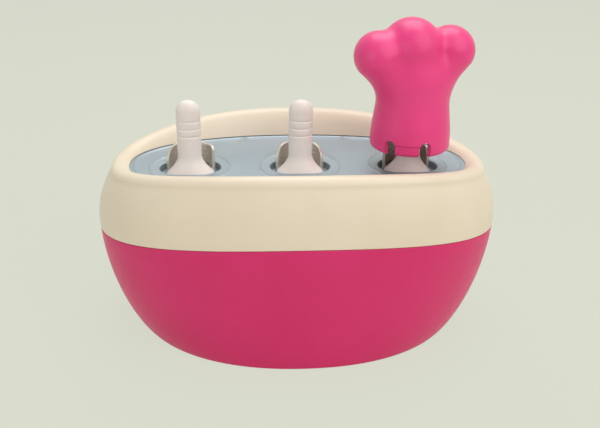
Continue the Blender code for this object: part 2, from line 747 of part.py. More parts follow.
def build_tank(parts, cutters):
    """Tank around the cups, with a flange, a gasket groove and a filler hole."""
    top = flange_top()
    under = top - TANK_FLANGE_THICKNESS
    groove = top - GASKET_THICKNESS
    inner_x, inner_y = tank_halves(top, -TANK_WALL)
    groove_in = GASKET_INSET
    groove_out = GASKET_INSET + GASKET_WIDTH + 2 * FIT_GAP
    floor = TANK_BOTTOM + TANK_WALL
    rings = [
        tank_ring(TANK_BOTTOM, -TANK_CORNER),
        tank_ring(TANK_BOTTOM + TANK_CORNER, 0.0),
        tank_ring(under, 0.0),
        oval_ring(TRAY_LENGTH / 2, TRAY_DEPTH / 2, under),
        oval_ring(TRAY_LENGTH / 2, TRAY_DEPTH / 2, top),
        oval_ring(inner_x + groove_out, inner_y + groove_out, top),
        oval_ring(inner_x + groove_out, inner_y + groove_out, groove),
        oval_ring(inner_x + groove_in, inner_y + groove_in, groove),
        oval_ring(inner_x + groove_in, inner_y + groove_in, top),
        oval_ring(inner_x, inner_y, top),
        tank_ring(floor + TANK_CORNER, -TANK_WALL),
        tank_ring(floor, -TANK_WALL - TANK_CORNER),
    ]
    plastic = hidden_material("tank_plastic", (0.72, 0.74, 0.76), 0.5)
    tank = loft("coolant_tank", rings, False, parts, plastic)
    holes = [cylinder("filler_hole", PLUG_HOLE_RADIUS + FIT_GAP, TANK_BOTTOM - 0.002,
                      floor + 0.002, plug_place(), cutters)]
    for index, place in enumerate(clamp_places()):
        holes.append(cylinder(f"flange_hole_{index}", SCREW_RADIUS + FIT_GAP, under - 0.002,
                              top + 0.002, place, cutters, sides=12))
    boolean(tank, join_meshes("coolant_tank_cutter", holes, cutters))
    rubber = hidden_material("gasket_rubber", (0.16, 0.16, 0.17), 0.8)
    low = groove + FIT_GAP
    in_x = inner_x + groove_in + FIT_GAP
    in_y = inner_y + groove_in + FIT_GAP
    loft("tray_gasket", [
        oval_ring(in_x, in_y, low),
        oval_ring(in_x + GASKET_WIDTH, in_y + GASKET_WIDTH, low),
        oval_ring(in_x + GASKET_WIDTH, in_y + GASKET_WIDTH, top),
        oval_ring(in_x, in_y, top),
    ], True, parts, rubber)


def build_coolant(parts, cutters):
    """Freezing gel that fills the tank up to its level, with room for the three cups."""
    floor = TANK_BOTTOM + TANK_WALL + FIT_GAP
    skin = -TANK_WALL - LOOSE_GAP
    rings = [
        tank_ring(floor, skin - TANK_CORNER),
        tank_ring(floor + TANK_CORNER, skin),
        tank_ring(TRAY_TOP - FILL_BELOW_TRAY, skin),
    ]
    gel = hidden_material("freezing_gel", (0.30, 0.55, 0.75), 0.3)
    fill = loft("coolant_fill", rings, False, parts, gel)
    cups = []
    for name, middle in cup_centres().items():
        cups.append(loft(f"cup_room_{name}", cup_rings(CUP_WALL + LOOSE_GAP, middle, 0.0), False,
                         cutters))
    boolean(fill, join_meshes("coolant_fill_cutter", cups, cutters))
    plug = cylinder("plug_room", PLUG_HOLE_RADIUS + 2 * FIT_GAP, floor - 0.002,
                    floor + 2 * LOOSE_GAP, plug_place(), cutters)
    boolean(fill, plug)


def build_liner(parts, cutters):
    """Foam tub between the tank and the outer shell."""
    low = FOOT_PROUD + FLOOR_THICKNESS + FIT_GAP
    lift = FLOOR_THICKNESS + FIT_GAP
    skin = SHELL_WALL + LOOSE_GAP
    tongue_skin = SHELL_WALL + TONGUE_WALL + FIT_GAP + LOOSE_GAP
    inside_floor = TANK_BOTTOM - FIT_GAP
    top = flange_top() - TANK_FLANGE_THICKNESS - SCREW_HEAD_HEIGHT - 3 * LOOSE_GAP
    rings = []
    for share in INSIDE_SHARES:
        rings.append(wall_ring(lambda step: blend_to_seam(step, low - FIT_GAP, share) + FIT_GAP,
                               skin, lift))
    below_tongue = TONGUE_DEPTH + LOOSE_GAP
    rings.append(wall_ring(lambda step: seam_height(step) - below_tongue - 0.002, skin, lift))
    rings.append(wall_ring(lambda step: seam_height(step) - below_tongue, tongue_skin, lift))
    rings.append(wall_ring(lambda step: seam_height(step) + 0.005, tongue_skin, lift))
    top_x = BODY_WIDTH / 2 - TOP_LEAN - tongue_skin
    top_y = BODY_DEPTH / 2 - TOP_LEAN - tongue_skin
    rings.append(oval_ring(top_x, top_y, top))
    rings.append(tank_ring(top, FIT_GAP))
    rings.append(tank_ring(inside_floor + TANK_CORNER, FIT_GAP))
    rings.append(tank_ring(inside_floor, FIT_GAP - TANK_CORNER))
    foam = hidden_material("insulation_foam", (0.85, 0.84, 0.80), 0.9)
    liner = loft("insulation_liner", rings, False, parts, foam)
    access = cylinder("plug_access", PLUG_ACCESS_RADIUS, low - 0.002, inside_floor + 0.004,
                      plug_place(), cutters)
    boolean(liner, access)


def build_plug(parts):
    """Screwed filler plug under the tank, and its sealing ring."""
    seat = TANK_BOTTOM - FIT_GAP - PLUG_RING_THICKNESS - FIT_GAP
    tip = TANK_BOTTOM + TANK_WALL + FIT_GAP
    plastic = hidden_material("plug_plastic", (0.20, 0.20, 0.22), 0.5)
    turned("filler_plug", [
        (0.0, tip),
        (PLUG_HOLE_RADIUS, tip),
        (PLUG_HOLE_RADIUS, seat),
        (PLUG_HEAD_RADIUS, seat),
        (PLUG_HEAD_RADIUS, seat - PLUG_HEAD_HEIGHT),
        (0.0, seat - PLUG_HEAD_HEIGHT),
    ], parts, plastic, centre=plug_place())
    rubber = hidden_material("ring_rubber", (0.08, 0.08, 0.08), 0.8)
    outer = PLUG_HEAD_RADIUS - FIT_GAP
    inner = PLUG_HOLE_RADIUS + FIT_GAP
    high = TANK_BOTTOM - FIT_GAP
    low = high - PLUG_RING_THICKNESS
    turned_ring("plug_seal_ring", [(inner, high), (outer, high), (outer, low), (inner, low)],
                parts, rubber, centre=plug_place())


def build_clamp_screws(parts):
    """Screws from under the tank's flange up into the rim's bosses."""
    under = flange_top() - TANK_FLANGE_THICKNESS - FIT_GAP
    steel = hidden_material("clamp_steel", (0.55, 0.55, 0.56), 0.35, 1.0)
    for index, place in enumerate(clamp_places()):
        turned(f"tray_screw_{index + 1}", [
            (0.0, clamp_screw_top()),
            (SCREW_RADIUS, clamp_screw_top()),
            (SCREW_RADIUS, under),
            (SCREW_HEAD_RADIUS, under),
            (SCREW_HEAD_RADIUS, under - SCREW_HEAD_HEIGHT),
            (0.0, under - SCREW_HEAD_HEIGHT),
        ], parts, steel, steps=12, centre=place)


def oval_section(half_x, half_y, height, power, sides=14):
    """Superellipse section of a stick."""
    ring = []
    for step in range(sides):
        angle = 2.0 * math.pi * step / sides
        ring.append(Vector((half_x * power_part(math.cos(angle), power),
                            half_y * power_part(math.sin(angle), power), height)))
    return ring


def neck_half():
    """Half width of a stick at its narrowest, just above the flare."""
    return (HANDLE_WIDTH - NECK_NARROWING) / 2


def handle_sections():
    """Sections of the grip above the neck, with its three shallow finger grooves."""
    half_x = HANDLE_WIDTH / 2
    half_y = HANDLE_DEPTH / 2
    low = NECK_HEIGHT
    sections = [(low + 0.004, neck_half() + 0.0003, half_y * 0.96)]
    grooves = [HANDLE_TOP - drop for drop in GROOVES_BELOW_TOP]
    pitch = (grooves[-1] - grooves[0]) / (len(grooves) - 1)
    for groove in grooves:
        sections.append((groove - pitch / 2, half_x, half_y))
        sections.append((groove, half_x - GRIP_GROOVE_DEPTH, half_y - GRIP_GROOVE_DEPTH))
    sections.append((grooves[-1] + pitch / 2, half_x, half_y))
    cap = half_x * 0.95
    for angle in (0.0, 30.0, 55.0, 75.0):
        turn = math.radians(angle)
        sections.append((HANDLE_TOP - cap + cap * math.sin(turn), half_x * math.cos(turn) ** 0.8,
                         half_y * math.cos(turn) ** 0.8))
    sections.append((HANDLE_TOP, half_x * 0.12, half_y * 0.12))
    return sections


def build_sticks(parts):
    """Pop sticks: flat blade in the cup, flared drip guard on the recess floor, rounded grip above."""
    material = white_plastic()
    seat = TRAY_TOP - RECESS_DEPTH + FIT_GAP
    rise = NECK_HEIGHT - seat
    flare = CUP_TOP_LENGTH / 2 + FLARE_SHOULDER
    blade_bottom = CUP_BOTTOM_HEIGHT + BLADE_ABOVE_CUP_BOTTOM
    for name, middle in cup_centres().items():
        rings = [
            oval_section(BLADE_WIDTH * 0.30, BLADE_THICKNESS * 0.40, blade_bottom, 3.0),
            oval_section(BLADE_WIDTH / 2, BLADE_THICKNESS / 2, blade_bottom + 0.003, 3.0),
            oval_section(BLADE_WIDTH / 2, BLADE_THICKNESS / 2, seat - 0.006, 3.0),
            oval_section(CUP_TOP_LENGTH / 2 - LOOSE_GAP, FLARE_DEPTH * 0.36, seat - FIT_GAP, 2.0),
            oval_section(flare, FLARE_DEPTH / 2, seat, 1.7),
            oval_section(flare, FLARE_DEPTH / 2, seat + FLARE_LIP, 1.7),
        ]
        for share in (0.2, 0.4, 0.65, 1.0):
            swing = (1.0 - share) ** 2.4
            half_x = neck_half() + (flare - neck_half()) * swing
            half_y = HANDLE_DEPTH / 2 + (FLARE_DEPTH - HANDLE_DEPTH) / 2 * swing
            height = seat + FLARE_LIP + (rise - FLARE_LIP) * share
            rings.append(oval_section(half_x, half_y, height, 2.0))
        for height, half_x, half_y in handle_sections():
            rings.append(oval_section(half_x, half_y, height, 2.3))
        stick = loft(f"stick_{name}", rings, False, parts, material)
        stick.location = (middle, CUP_ROW, 0.0)


def tool_axis_marker(parts):
    """Empty on the removal tool's turning axis."""
    marker = bpy.data.objects.new("tool_axis", None)
    marker.location = (CUP_SPACING, CUP_ROW, 0.0)
    parts.objects.link(marker)
    return marker


def build_tool(parts, cutters):
    """Removal tool: round skirt over the stick, waisted neck and a knob of three soft lobes."""
    axis = tool_axis_marker(parts)
    sleeve_top = HANDLE_TOP + FIT_GAP + SLEEVE_CAP
    sleeve_radius = SLEEVE_BORE_RADIUS + SLEEVE_WALL
    bore = sleeve_radius + FIT_GAP
    inside = SKIRT_RADIUS - SKIRT_WALL
    profile = [(0.0, KNOB_TOP)]
    for angle in (70.0, 50.0, 30.0, 12.0, 0.0):
        turn = math.radians(angle)
        profile.append((KNOB_RADIUS * math.cos(turn),
                        KNOB_SHOULDER + (KNOB_TOP - KNOB_SHOULDER) * math.sin(turn)))
    profile += [
        (NECK_RADIUS, TOOL_NECK_HEIGHT),
        (NECK_RADIUS + 0.0010, TOOL_NECK_HEIGHT - 0.012),
        (SKIRT_RADIUS, SKIRT_BOTTOM + 0.011),
        (SKIRT_RADIUS, SKIRT_BOTTOM + 0.003),
        (SKIRT_RADIUS - 0.0010, SKIRT_BOTTOM + 0.0008),
        (SKIRT_RADIUS - 0.0022, SKIRT_BOTTOM),
        (inside, SKIRT_BOTTOM),
        (inside, SKIRT_BOTTOM + 0.011),
        (bore, SKIRT_BOTTOM + 0.018),
        (bore, sleeve_top + FIT_GAP),
        (0.0, sleeve_top + FIT_GAP),
    ]
    grip = turned("tool_grip", profile, parts, pink_plastic(), steps=24)
    grip.parent = axis
    for name, side in (("left", -1), ("right", 1)):
        boolean(grip, lobe(f"lobe_{name}", side, cutters), "UNION")
    boolean(grip, slot_cutter(cutters))
    cream = hidden_material("sleeve_plastic", (0.78, 0.76, 0.72), 0.4)
    sleeve = turned("tool_thread_sleeve", [
        (0.0, sleeve_top),
        (sleeve_radius, sleeve_top),
        (sleeve_radius, SLEEVE_BOTTOM),
        (SLEEVE_BORE_RADIUS, SLEEVE_BOTTOM),
        (SLEEVE_BORE_RADIUS, sleeve_top - SLEEVE_CAP),
        (0.0, sleeve_top - SLEEVE_CAP),
    ], parts, cream)
    sleeve.parent = axis


def lobe(name, side, cutters):
    """One soft side lobe of the knob, an ellipsoid on the line that KNOB_TURN gives."""
    mesh = bpy.data.meshes.new(name)
    work = bmesh.new()
    stretch = Matrix.Diagonal((LOBE_RADIUS, LOBE_DEPTH, LOBE_RADIUS, 1.0))
    bmesh.ops.create_uvsphere(work, u_segments=20, v_segments=14, radius=1.0, matrix=stretch)
    work.to_mesh(mesh)
    work.free()
    finish_mesh(mesh)
    item = new_object(name, mesh, cutters)
    turn = math.radians(KNOB_TURN)
    reach = side * LOBE_OFFSET
    item.location = (CUP_SPACING + reach * math.cos(turn), CUP_ROW + reach * math.sin(turn), LOBE_HEIGHT)
    item.rotation_euler = (0.0, 0.0, turn)
    return item


def slot_cutter(cutters):
    """Round-topped slots through the skirt's front and back, either side of a middle tab."""
    half = SLOT_WIDTH / 2
    square = SLOT_HEIGHT - half
    outline = [Vector((-half, 0.0, -0.002)), Vector((half, 0.0, -0.002))]
    for angle in (0.0, 36.0, 72.0, 108.0, 144.0, 180.0):
        turn = math.radians(angle)
        outline.append(Vector((half * math.cos(turn), 0.0, square + half * math.sin(turn))))
    slots = []
    for index, heading in enumerate((-SLOT_ANGLE, SLOT_ANGLE, 180 - SLOT_ANGLE, 180 + SLOT_ANGLE)):
        turn = Matrix.Rotation(math.radians(heading + SLOT_TURN), 3, "Z")
        rings = []
        for reach in (SKIRT_RADIUS - 2 * SKIRT_WALL, SKIRT_RADIUS + 0.004):
            rings.append([turn @ (point + Vector((0.0, -reach, 0.0))) for point in outline])
        slot = loft(f"slot_{index}", rings, False, cutters)
        slot.location = (CUP_SPACING, CUP_ROW, SKIRT_BOTTOM)
        slots.append(slot)
    return join_meshes("tool_grip_slots", slots, cutters)


def main():
    """Build every piece."""
    clear_scene()
    parts = make_collection(PARTS)
    cutters = make_collection(CUTTERS)
    build_lower_shell(parts, cutters)
    build_base(parts, cutters)
    build_upper_rim(parts, cutters)
    build_mould_tray(parts, cutters)
    build_guides(parts)
    build_tank(parts, cutters)
    build_coolant(parts, cutters)
    build_liner(parts, cutters)
    build_plug(parts)
    build_clamp_screws(parts)
    build_sticks(parts)
    build_tool(parts, cutters)


main()
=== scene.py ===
import math

import bmesh
import bpy
import numpy as np
from mathutils import Matrix, Vector


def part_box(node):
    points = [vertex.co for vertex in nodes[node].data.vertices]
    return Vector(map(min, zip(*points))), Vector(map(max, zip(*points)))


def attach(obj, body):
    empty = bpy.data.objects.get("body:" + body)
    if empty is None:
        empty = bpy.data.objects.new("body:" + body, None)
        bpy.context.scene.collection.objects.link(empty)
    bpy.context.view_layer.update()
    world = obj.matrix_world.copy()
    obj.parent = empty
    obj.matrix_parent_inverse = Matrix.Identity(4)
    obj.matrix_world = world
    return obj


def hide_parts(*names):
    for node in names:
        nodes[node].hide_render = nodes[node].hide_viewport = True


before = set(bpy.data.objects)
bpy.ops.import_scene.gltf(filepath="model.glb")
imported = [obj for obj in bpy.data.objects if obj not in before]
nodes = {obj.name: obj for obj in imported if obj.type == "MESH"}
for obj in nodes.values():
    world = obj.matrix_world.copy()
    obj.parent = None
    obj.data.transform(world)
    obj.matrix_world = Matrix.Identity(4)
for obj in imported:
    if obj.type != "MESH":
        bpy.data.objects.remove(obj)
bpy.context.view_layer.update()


def boxMiddle(node):
    # the point half way between a node's lowest and highest corners
    low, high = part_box(node)
    return (low + high) / 2


# camera: a little left of the front, looking down on the tray
camera = {"distance": 0.4851, "elevation": 24.249, "azimuth": 4.701, "roll": 1.032,
          "lens": 44.889, "sensor": 36.0, "near": 0.01, "target": (0.00111, 0.0, 0.06613)}


def placeCamera():
    # right, up and back are the camera's own axes after its roll, worked out from its angles
    elevation = math.radians(camera["elevation"])
    azimuth = math.radians(camera["azimuth"])
    ahead = Vector((math.sin(azimuth) * math.cos(elevation),
                    math.cos(azimuth) * math.cos(elevation), -math.sin(elevation)))
    right = Vector((math.cos(azimuth), -math.sin(azimuth), 0.0))
    turn = Matrix.Rotation(-math.radians(camera["roll"]), 3, ahead)
    right = turn @ right
    up = right.cross(ahead)
    data = bpy.data.cameras.new("mainCamera")
    data.sensor_width = camera["sensor"]
    data.lens = camera["lens"]
    data.clip_start = camera["near"]
    item = bpy.data.objects.new("mainCamera", data)
    axes = Matrix((right, up, -ahead)).transposed().to_4x4()
    place = Vector(camera["target"]) - ahead * camera["distance"]
    item.matrix_world = Matrix.Translation(place) @ axes
    bpy.context.scene.collection.objects.link(item)
    bpy.context.scene.camera = item
    print("camera", camera["lens"], "mm")


def ringFaces(rings, around, closedAlong=False):
    # quads between ring i and ring i + 1, each ring running right round; closedAlong joins last to first
    row = np.arange(rings if closedAlong else rings - 1)[:, None]
    column = np.arange(around)[None, :]
    after = (column + 1) % around
    above = (row + 1) % rings
    quads = np.stack([row * around + column, row * around + after,
                      above * around + after, above * around + column], axis=-1)
    return quads.reshape(-1, 4)


def fanFaces(ring, pole, around):
    # triangles from one ring to its pole point, which closes the end
    column = np.arange(around)
    after = (column + 1) % around
    base = ring * around
    return np.stack([base + column, base + after, np.full(around, pole)], axis=-1)


def signedVolume(points, faces):
    # six times the volume of the fan of tetrahedra from the origin to every face
    total = 0.0
    for block in faces:
        for corner in range(1, block.shape[1] - 1):
            a = points[block[:, 0]]
            b = points[block[:, corner]]
            c = points[block[:, corner + 1]]
            total += float(np.einsum("ij,ij->i", a, np.cross(b, c)).sum())
    return total


def loftPart(rings, closedAlong=False):
    # rings: array of (ring, point, xyz); ends are closed with a pole at the middle of the end ring
    count, around, _ = rings.shape
    points = rings.reshape(-1, 3)
    faces = [ringFaces(count, around, closedAlong)]
    if not closedAlong:
        for ring in (0, count - 1):
            points = np.vstack([points, rings[ring].mean(axis=0)])
            fan = fanFaces(ring, len(points) - 1, around)
            faces.append(fan[:, ::-1] if ring == 0 else fan)
    return turnedOut(points, faces)


def turnedOut(points, faces):
    # a closed part whose faces point inwards has its faces reversed
    if signedVolume(points, faces) < 0:
        faces = [block[:, ::-1] for block in faces]
    return points, faces


def makeObject(name, parts, material, sharpAngle=40.0, weld=0.0):
    # one mesh from parts of points and face blocks; points nearer than weld become one
    allPoints = []
    allFaces = []
    offset = 0
    for points, faces in parts:
        allPoints.append(points)
        for block in faces:
            allFaces.extend((block + offset).tolist())
        offset += len(points)
    mesh = bpy.data.meshes.new(name)
    mesh.from_pydata(np.vstack(allPoints).tolist(), [], allFaces)
    mesh.validate()
    if weld:
        work = bmesh.new()
        work.from_mesh(mesh)
        bmesh.ops.remove_doubles(work, verts=work.verts, dist=weld)
        work.to_mesh(mesh)
        work.free()
    mesh.shade_smooth()
    mesh.set_sharp_from_angle(angle=math.radians(sharpAngle))
    mesh.materials.append(material)
    item = bpy.data.objects.new(name, mesh)
    bpy.context.scene.collection.objects.link(item)
    return item


def standFor(item, node, body):
    # the piece takes the place of a CAD node and moves with that node's body
    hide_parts(node)
    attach(item, body)
    print("made", item.name, len(item.data.polygons), "faces")


# how deep the bumps of every finish are in metres, and how far its gloss wanders either way
relief = {"cloud": 0.05, "cloudDepth": 0.001, "grainDepth": 0.0004,
          "scratchDepth": 0.0002, "pitDepth": 0.0003, "plasticGloss": 0.05,
          "metalGloss": 0.06, "fleckFrom": 0.45, "fleckTo": 0.75}


def newMaterial(name):
    material = bpy.data.materials.new(name)
    material.use_nodes = True
    tree = material.node_tree
    return material, tree.nodes, tree.links, tree.nodes["Principled BSDF"]


def addNoise(nodesOf, links, vector, scale, detail=4.0, rough=0.55):
    # scale is in lumps to the metre, because Object coordinates are in metres
    noise = nodesOf.new("ShaderNodeTexNoise")
    noise.inputs["Scale"].default_value = scale
    noise.inputs["Detail"].default_value = detail
    noise.inputs["Roughness"].default_value = rough
    links.new(vector, noise.inputs["Vector"])
    return noise.outputs["Fac"]


def remap(nodesOf, links, value, low, high, fromLow=0.3, fromHigh=0.7):
    # noise mostly lies between 0.3 and 0.7, which becomes low to high
    node = nodesOf.new("ShaderNodeMapRange")
    node.inputs["From Min"].default_value = fromLow
    node.inputs["From Max"].default_value = fromHigh
    node.inputs["To Min"].default_value = low
    node.inputs["To Max"].default_value = high
    links.new(value, node.inputs["Value"])
    return node.outputs["Result"]


def blendColours(nodesOf, links, factor, first, second):
    # first and second are each a colour or another node's output
    node = nodesOf.new("ShaderNodeMix")
    node.data_type = "RGBA"
    links.new(factor, node.inputs["Factor"])
    for socket, colour in ((node.inputs[6], first), (node.inputs[7], second)):
        if isinstance(colour, tuple):
            socket.default_value = (*colour, 1.0)
        else:
            links.new(colour, socket)
    return node.outputs[2]


def addBump(nodesOf, links, height, strength, distance, normal=None):
    node = nodesOf.new("ShaderNodeBump")
    node.inputs["Strength"].default_value = strength
    node.inputs["Distance"].default_value = distance
    links.new(height, node.inputs["Height"])
    if normal:
        links.new(normal, node.inputs["Normal"])
    return node.outputs["Normal"]


def mouldedPlastic(name, look):
    # cloudy tone of the moulding, a finer fleck, uneven satin and the fine grain of the tool
    material, nodesOf, links, shader = newMaterial(name)
    coords = nodesOf.new("ShaderNodeTexCoord").outputs["Object"]
    cloud = addNoise(nodesOf, links, coords, look["cloudScale"], 3.0)
    fleck = addNoise(nodesOf, links, coords, look["fleckScale"], 2.0)
    grain = addNoise(nodesOf, links, coords, look["grainScale"], 2.0)
    share = remap(nodesOf, links, cloud, 0.0, 1.0)
    tone = blendColours(nodesOf, links, share, look["dark"], look["light"])
    spots = remap(nodesOf, links, fleck, 0.0, look["fleck"], relief["fleckFrom"], relief["fleckTo"])
    colour = blendColours(nodesOf, links, spots, tone, look["light"])
    links.new(colour, shader.inputs["Base Color"])
    gloss = relief["plasticGloss"]
    links.new(remap(nodesOf, links, fleck, look["rough"] - gloss, look["rough"] + gloss),
              shader.inputs["Roughness"])
    fine = addBump(nodesOf, links, grain, look["grain"], relief["grainDepth"])
    links.new(addBump(nodesOf, links, cloud, relief["cloud"], relief["cloudDepth"], fine),
              shader.inputs["Normal"])
    return material


def castMetal(name, look):
    # soft sheen with fine turned scratches, a faint frost-like cloud and small pits
    material, nodesOf, links, shader = newMaterial(name)
    coords = nodesOf.new("ShaderNodeTexCoord").outputs["Object"]
    cloud = addNoise(nodesOf, links, coords, look["cloudScale"], 4.0)
    stretch = nodesOf.new("ShaderNodeMapping")
    stretch.inputs["Scale"].default_value = look["scratchStretch"]
    links.new(coords, stretch.inputs["Vector"])
    scratch = addNoise(nodesOf, links, stretch.outputs["Vector"], look["scratchScale"], 3.0)
    pits = addNoise(nodesOf, links, coords, look["pitScale"], 2.0)
    share = remap(nodesOf, links, cloud, 0.0, 1.0)
    tone = blendColours(nodesOf, links, share, look["dark"], look["light"])
    links.new(tone, shader.inputs["Base Color"])
    gloss = relief["metalGloss"]
    links.new(remap(nodesOf, links, scratch, look["rough"] - gloss, look["rough"] + gloss),
              shader.inputs["Roughness"])
    fine = addBump(nodesOf, links, scratch, look["scratch"], relief["scratchDepth"])
    links.new(addBump(nodesOf, links, pits, look["pit"], relief["pitDepth"], fine), shader.inputs["Normal"])
    shader.inputs["Metallic"].default_value = look["metal"]
    return material


plasticLooks = {
    "tubPink": {"dark": (0.70, 0.013, 0.138), "light": (0.76, 0.020, 0.168), "rough": 0.40, "grain": 0.10,
                "cloudScale": 18.0, "fleckScale": 240.0, "fleck": 0.25, "grainScale": 2600.0},
    "rimCream": {"dark": (0.86, 0.735, 0.565), "light": (0.89, 0.78, 0.62), "rough": 0.36, "grain": 0.08,
                 "cloudScale": 20.0, "fleckScale": 260.0, "fleck": 0.25, "grainScale": 2600.0},
    "toolPink": {"dark": (0.88, 0.042, 0.230), "light": (0.93, 0.058, 0.270), "rough": 0.34, "grain": 0.08,
                 "cloudScale": 30.0, "fleckScale": 300.0, "fleck": 0.25, "grainScale": 2800.0},
    "stickWhite": {"dark": (0.87, 0.77, 0.725), "light": (0.92, 0.845, 0.80), "rough": 0.34, "grain": 0.06,
                   "cloudScale": 60.0, "fleckScale": 500.0, "fleck": 0.2, "grainScale": 3000.0},
    "sleevePlastic": {"dark": (0.74, 0.71, 0.66), "light": (0.80, 0.78, 0.74), "rough": 0.42, "grain": 0.1,
                      "cloudScale": 60.0, "fleckScale": 500.0, "fleck": 0.2, "grainScale": 3000.0},
    "tankPlastic": {"dark": (0.66, 0.69, 0.71), "light": (0.74, 0.76, 0.78), "rough": 0.5, "grain": 0.15,
                    "cloudScale": 30.0, "fleckScale": 300.0, "fleck": 0.3, "grainScale": 2400.0},
    "plugPlastic": {"dark": (0.035, 0.036, 0.04), "light": (0.055, 0.056, 0.06), "rough": 0.5, "grain": 0.2,
                    "cloudScale": 60.0, "fleckScale": 500.0, "fleck": 0.3, "grainScale": 2400.0},
    "footRubber": {"dark": (0.020, 0.019, 0.019), "light": (0.034, 0.032, 0.031),
                   "rough": 0.8, "grain": 0.35, "cloudScale": 80.0, "fleckScale": 700.0, "fleck": 0.5,
                   "grainScale": 1800.0},
    "gasketRubber": {"dark": (0.03, 0.03, 0.032), "light": (0.05, 0.05, 0.053), "rough": 0.75, "grain": 0.3,
                     "cloudScale": 80.0, "fleckScale": 700.0, "fleck": 0.5, "grainScale": 1800.0},
    "freezingGel": {"dark": (0.10, 0.30, 0.52), "light": (0.16, 0.40, 0.62), "rough": 0.25, "grain": 0.05,
                    "cloudScale": 40.0, "fleckScale": 220.0, "fleck": 0.6, "grainScale": 900.0},
    "foam": {"dark": (0.78, 0.76, 0.70), "light": (0.86, 0.84, 0.80), "rough": 0.9, "grain": 0.8,
             "cloudScale": 40.0, "fleckScale": 420.0, "fleck": 0.7, "grainScale": 700.0},
}
metalLooks = {
    "trayMetal": {"dark": (0.36, 0.430, 0.500), "light": (0.42, 0.485, 0.550), "rough": 0.40, "metal": 0.55,
                  "cloudScale": 24.0, "scratchScale": 500.0, "scratchStretch": (1.0, 6.0, 1.0),
                  "scratch": 0.10, "pitScale": 1500.0, "pit": 0.10},
    # the guides' grey metal carries a warm beige tint, a painted reflection of the cream rim and stick
    "guideMetalPaintedReflection": {"dark": (0.56, 0.53, 0.47), "light": (0.64, 0.61, 0.55), "rough": 0.38, "metal": 0.55,
                   "cloudScale": 60.0, "scratchScale": 600.0, "scratchStretch": (1.0, 1.0, 5.0),
                   "scratch": 0.15, "pitScale": 1300.0, "pit": 0.15},
    "screwSteel": {"dark": (0.46, 0.46, 0.47), "light": (0.58, 0.58, 0.59), "rough": 0.32, "metal": 1.0,
                   "cloudScale": 200.0, "scratchScale": 900.0, "scratchStretch": (1.0, 1.0, 4.0),
                   "scratch": 0.2, "pitScale": 2000.0, "pit": 0.1},
}
materials = {name: mouldedPlastic(name, look) for name, look in plasticLooks.items()}
materials.update({name: castMetal(name, look) for name, look in metalLooks.items()})
print("materials", len(materials))


# tub: shell and rim share one outline; drop is how far the inner walls' curve sits above the outer one
tub = {"halfX": 0.125, "halfY": 0.080, "baseX": 0.1007, "baseY": 0.0776, "planPower": 2.15,
       "floor": 0.001, "widest": 0.072, "rise": 1.86, "turn": 1.37, "lean": 0.0086,
       "rimTop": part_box("upper_rim")[1].z, "rimArch": 0.0169, "archPower": 2.37,
       "seam": 0.080, "seamArch": 0.0132, "lip": 0.005, "around": 360,
       "shellWall": 0.0024, "rimWall": 0.003, "gap": 0.0003, "edge": 0.0004, "drop": 0.0044}


def planAngles(count):
    # even steps once round, the last stopping short of the first
    return np.linspace(0.0, 2.0 * np.pi, count, endpoint=False)


def signedPower(value, power):
    # the size of a value raised to two over the power, with the value's own sign
    return np.sign(value) * np.abs(value) ** (2.0 / power)


def planOf(angles):
    # unit superellipse: cosine and sine raised to two over the power, keeping their signs
    return signedPower(np.cos(angles), tub["planPower"]), signedPower(np.sin(angles), tub["planPower"])


def crestOf(across):
    # height of the rim's crest: it falls from the middle as a power of the distance to each side
    reach = np.abs(across) * (tub["halfX"] - tub["lean"] - tub["lip"]) / tub["halfX"]
    return tub["rimTop"] - tub["rimArch"] * reach ** tub["archPower"]


def seamOf(across):
    # height of the seam between shell and rim, a parabola that falls to each side
    return tub["seam"] - tub["seamArch"] * across**2


def wallHalves(height, across):
    # below the widest height the wall swells as a root of a curved rise; above, it leans in
    rise = np.clip((height - tub["floor"]) / (tub["widest"] - tub["floor"]), 0.0, 1.0)
    bulge = (1.0 - (1.0 - rise) ** tub["rise"]) ** (1.0 / tub["turn"])
    halfX = tub["baseX"] + (tub["halfX"] - tub["baseX"]) * bulge
    halfY = tub["baseY"] + (tub["halfY"] - tub["baseY"]) * bulge
    share = (height - tub["widest"]) / (crestOf(across) - tub["lip"] - tub["widest"])
    lean = tub["lean"] * np.clip(share, 0.0, 1.0) ** 2
    return halfX - lean, halfY - lean


def wallRing(angles, height, inset, drop=0.0):
    # the tub's outline at a height, taken in by inset
    across, along = planOf(angles)
    height = np.broadcast_to(height, across.shape)
    halfX, halfY = wallHalves(height - drop, across)
    return np.stack([(halfX - inset) * across, (halfY - inset) * along, height], axis=-1)


def flatRing(angles, halfX, halfY, height):
    # the plan's outline at its own half sizes
    across, along = planOf(angles)
    return np.stack([halfX * across, halfY * along, np.broadcast_to(height, across.shape)], axis=-1)


# lower shell: the ledge holds the base panel, and wallShares place the rings of its inner wall
shell = {"ledge": 0.009, "footEdge": 0.0004, "sideRings": 60,
         "wallShares": (0.92, 0.75, 0.5, 0.25, 0.09, 0.03, 0.0)}
quarterTurn = np.radians([22.5, 45.0, 67.5, 90.0])


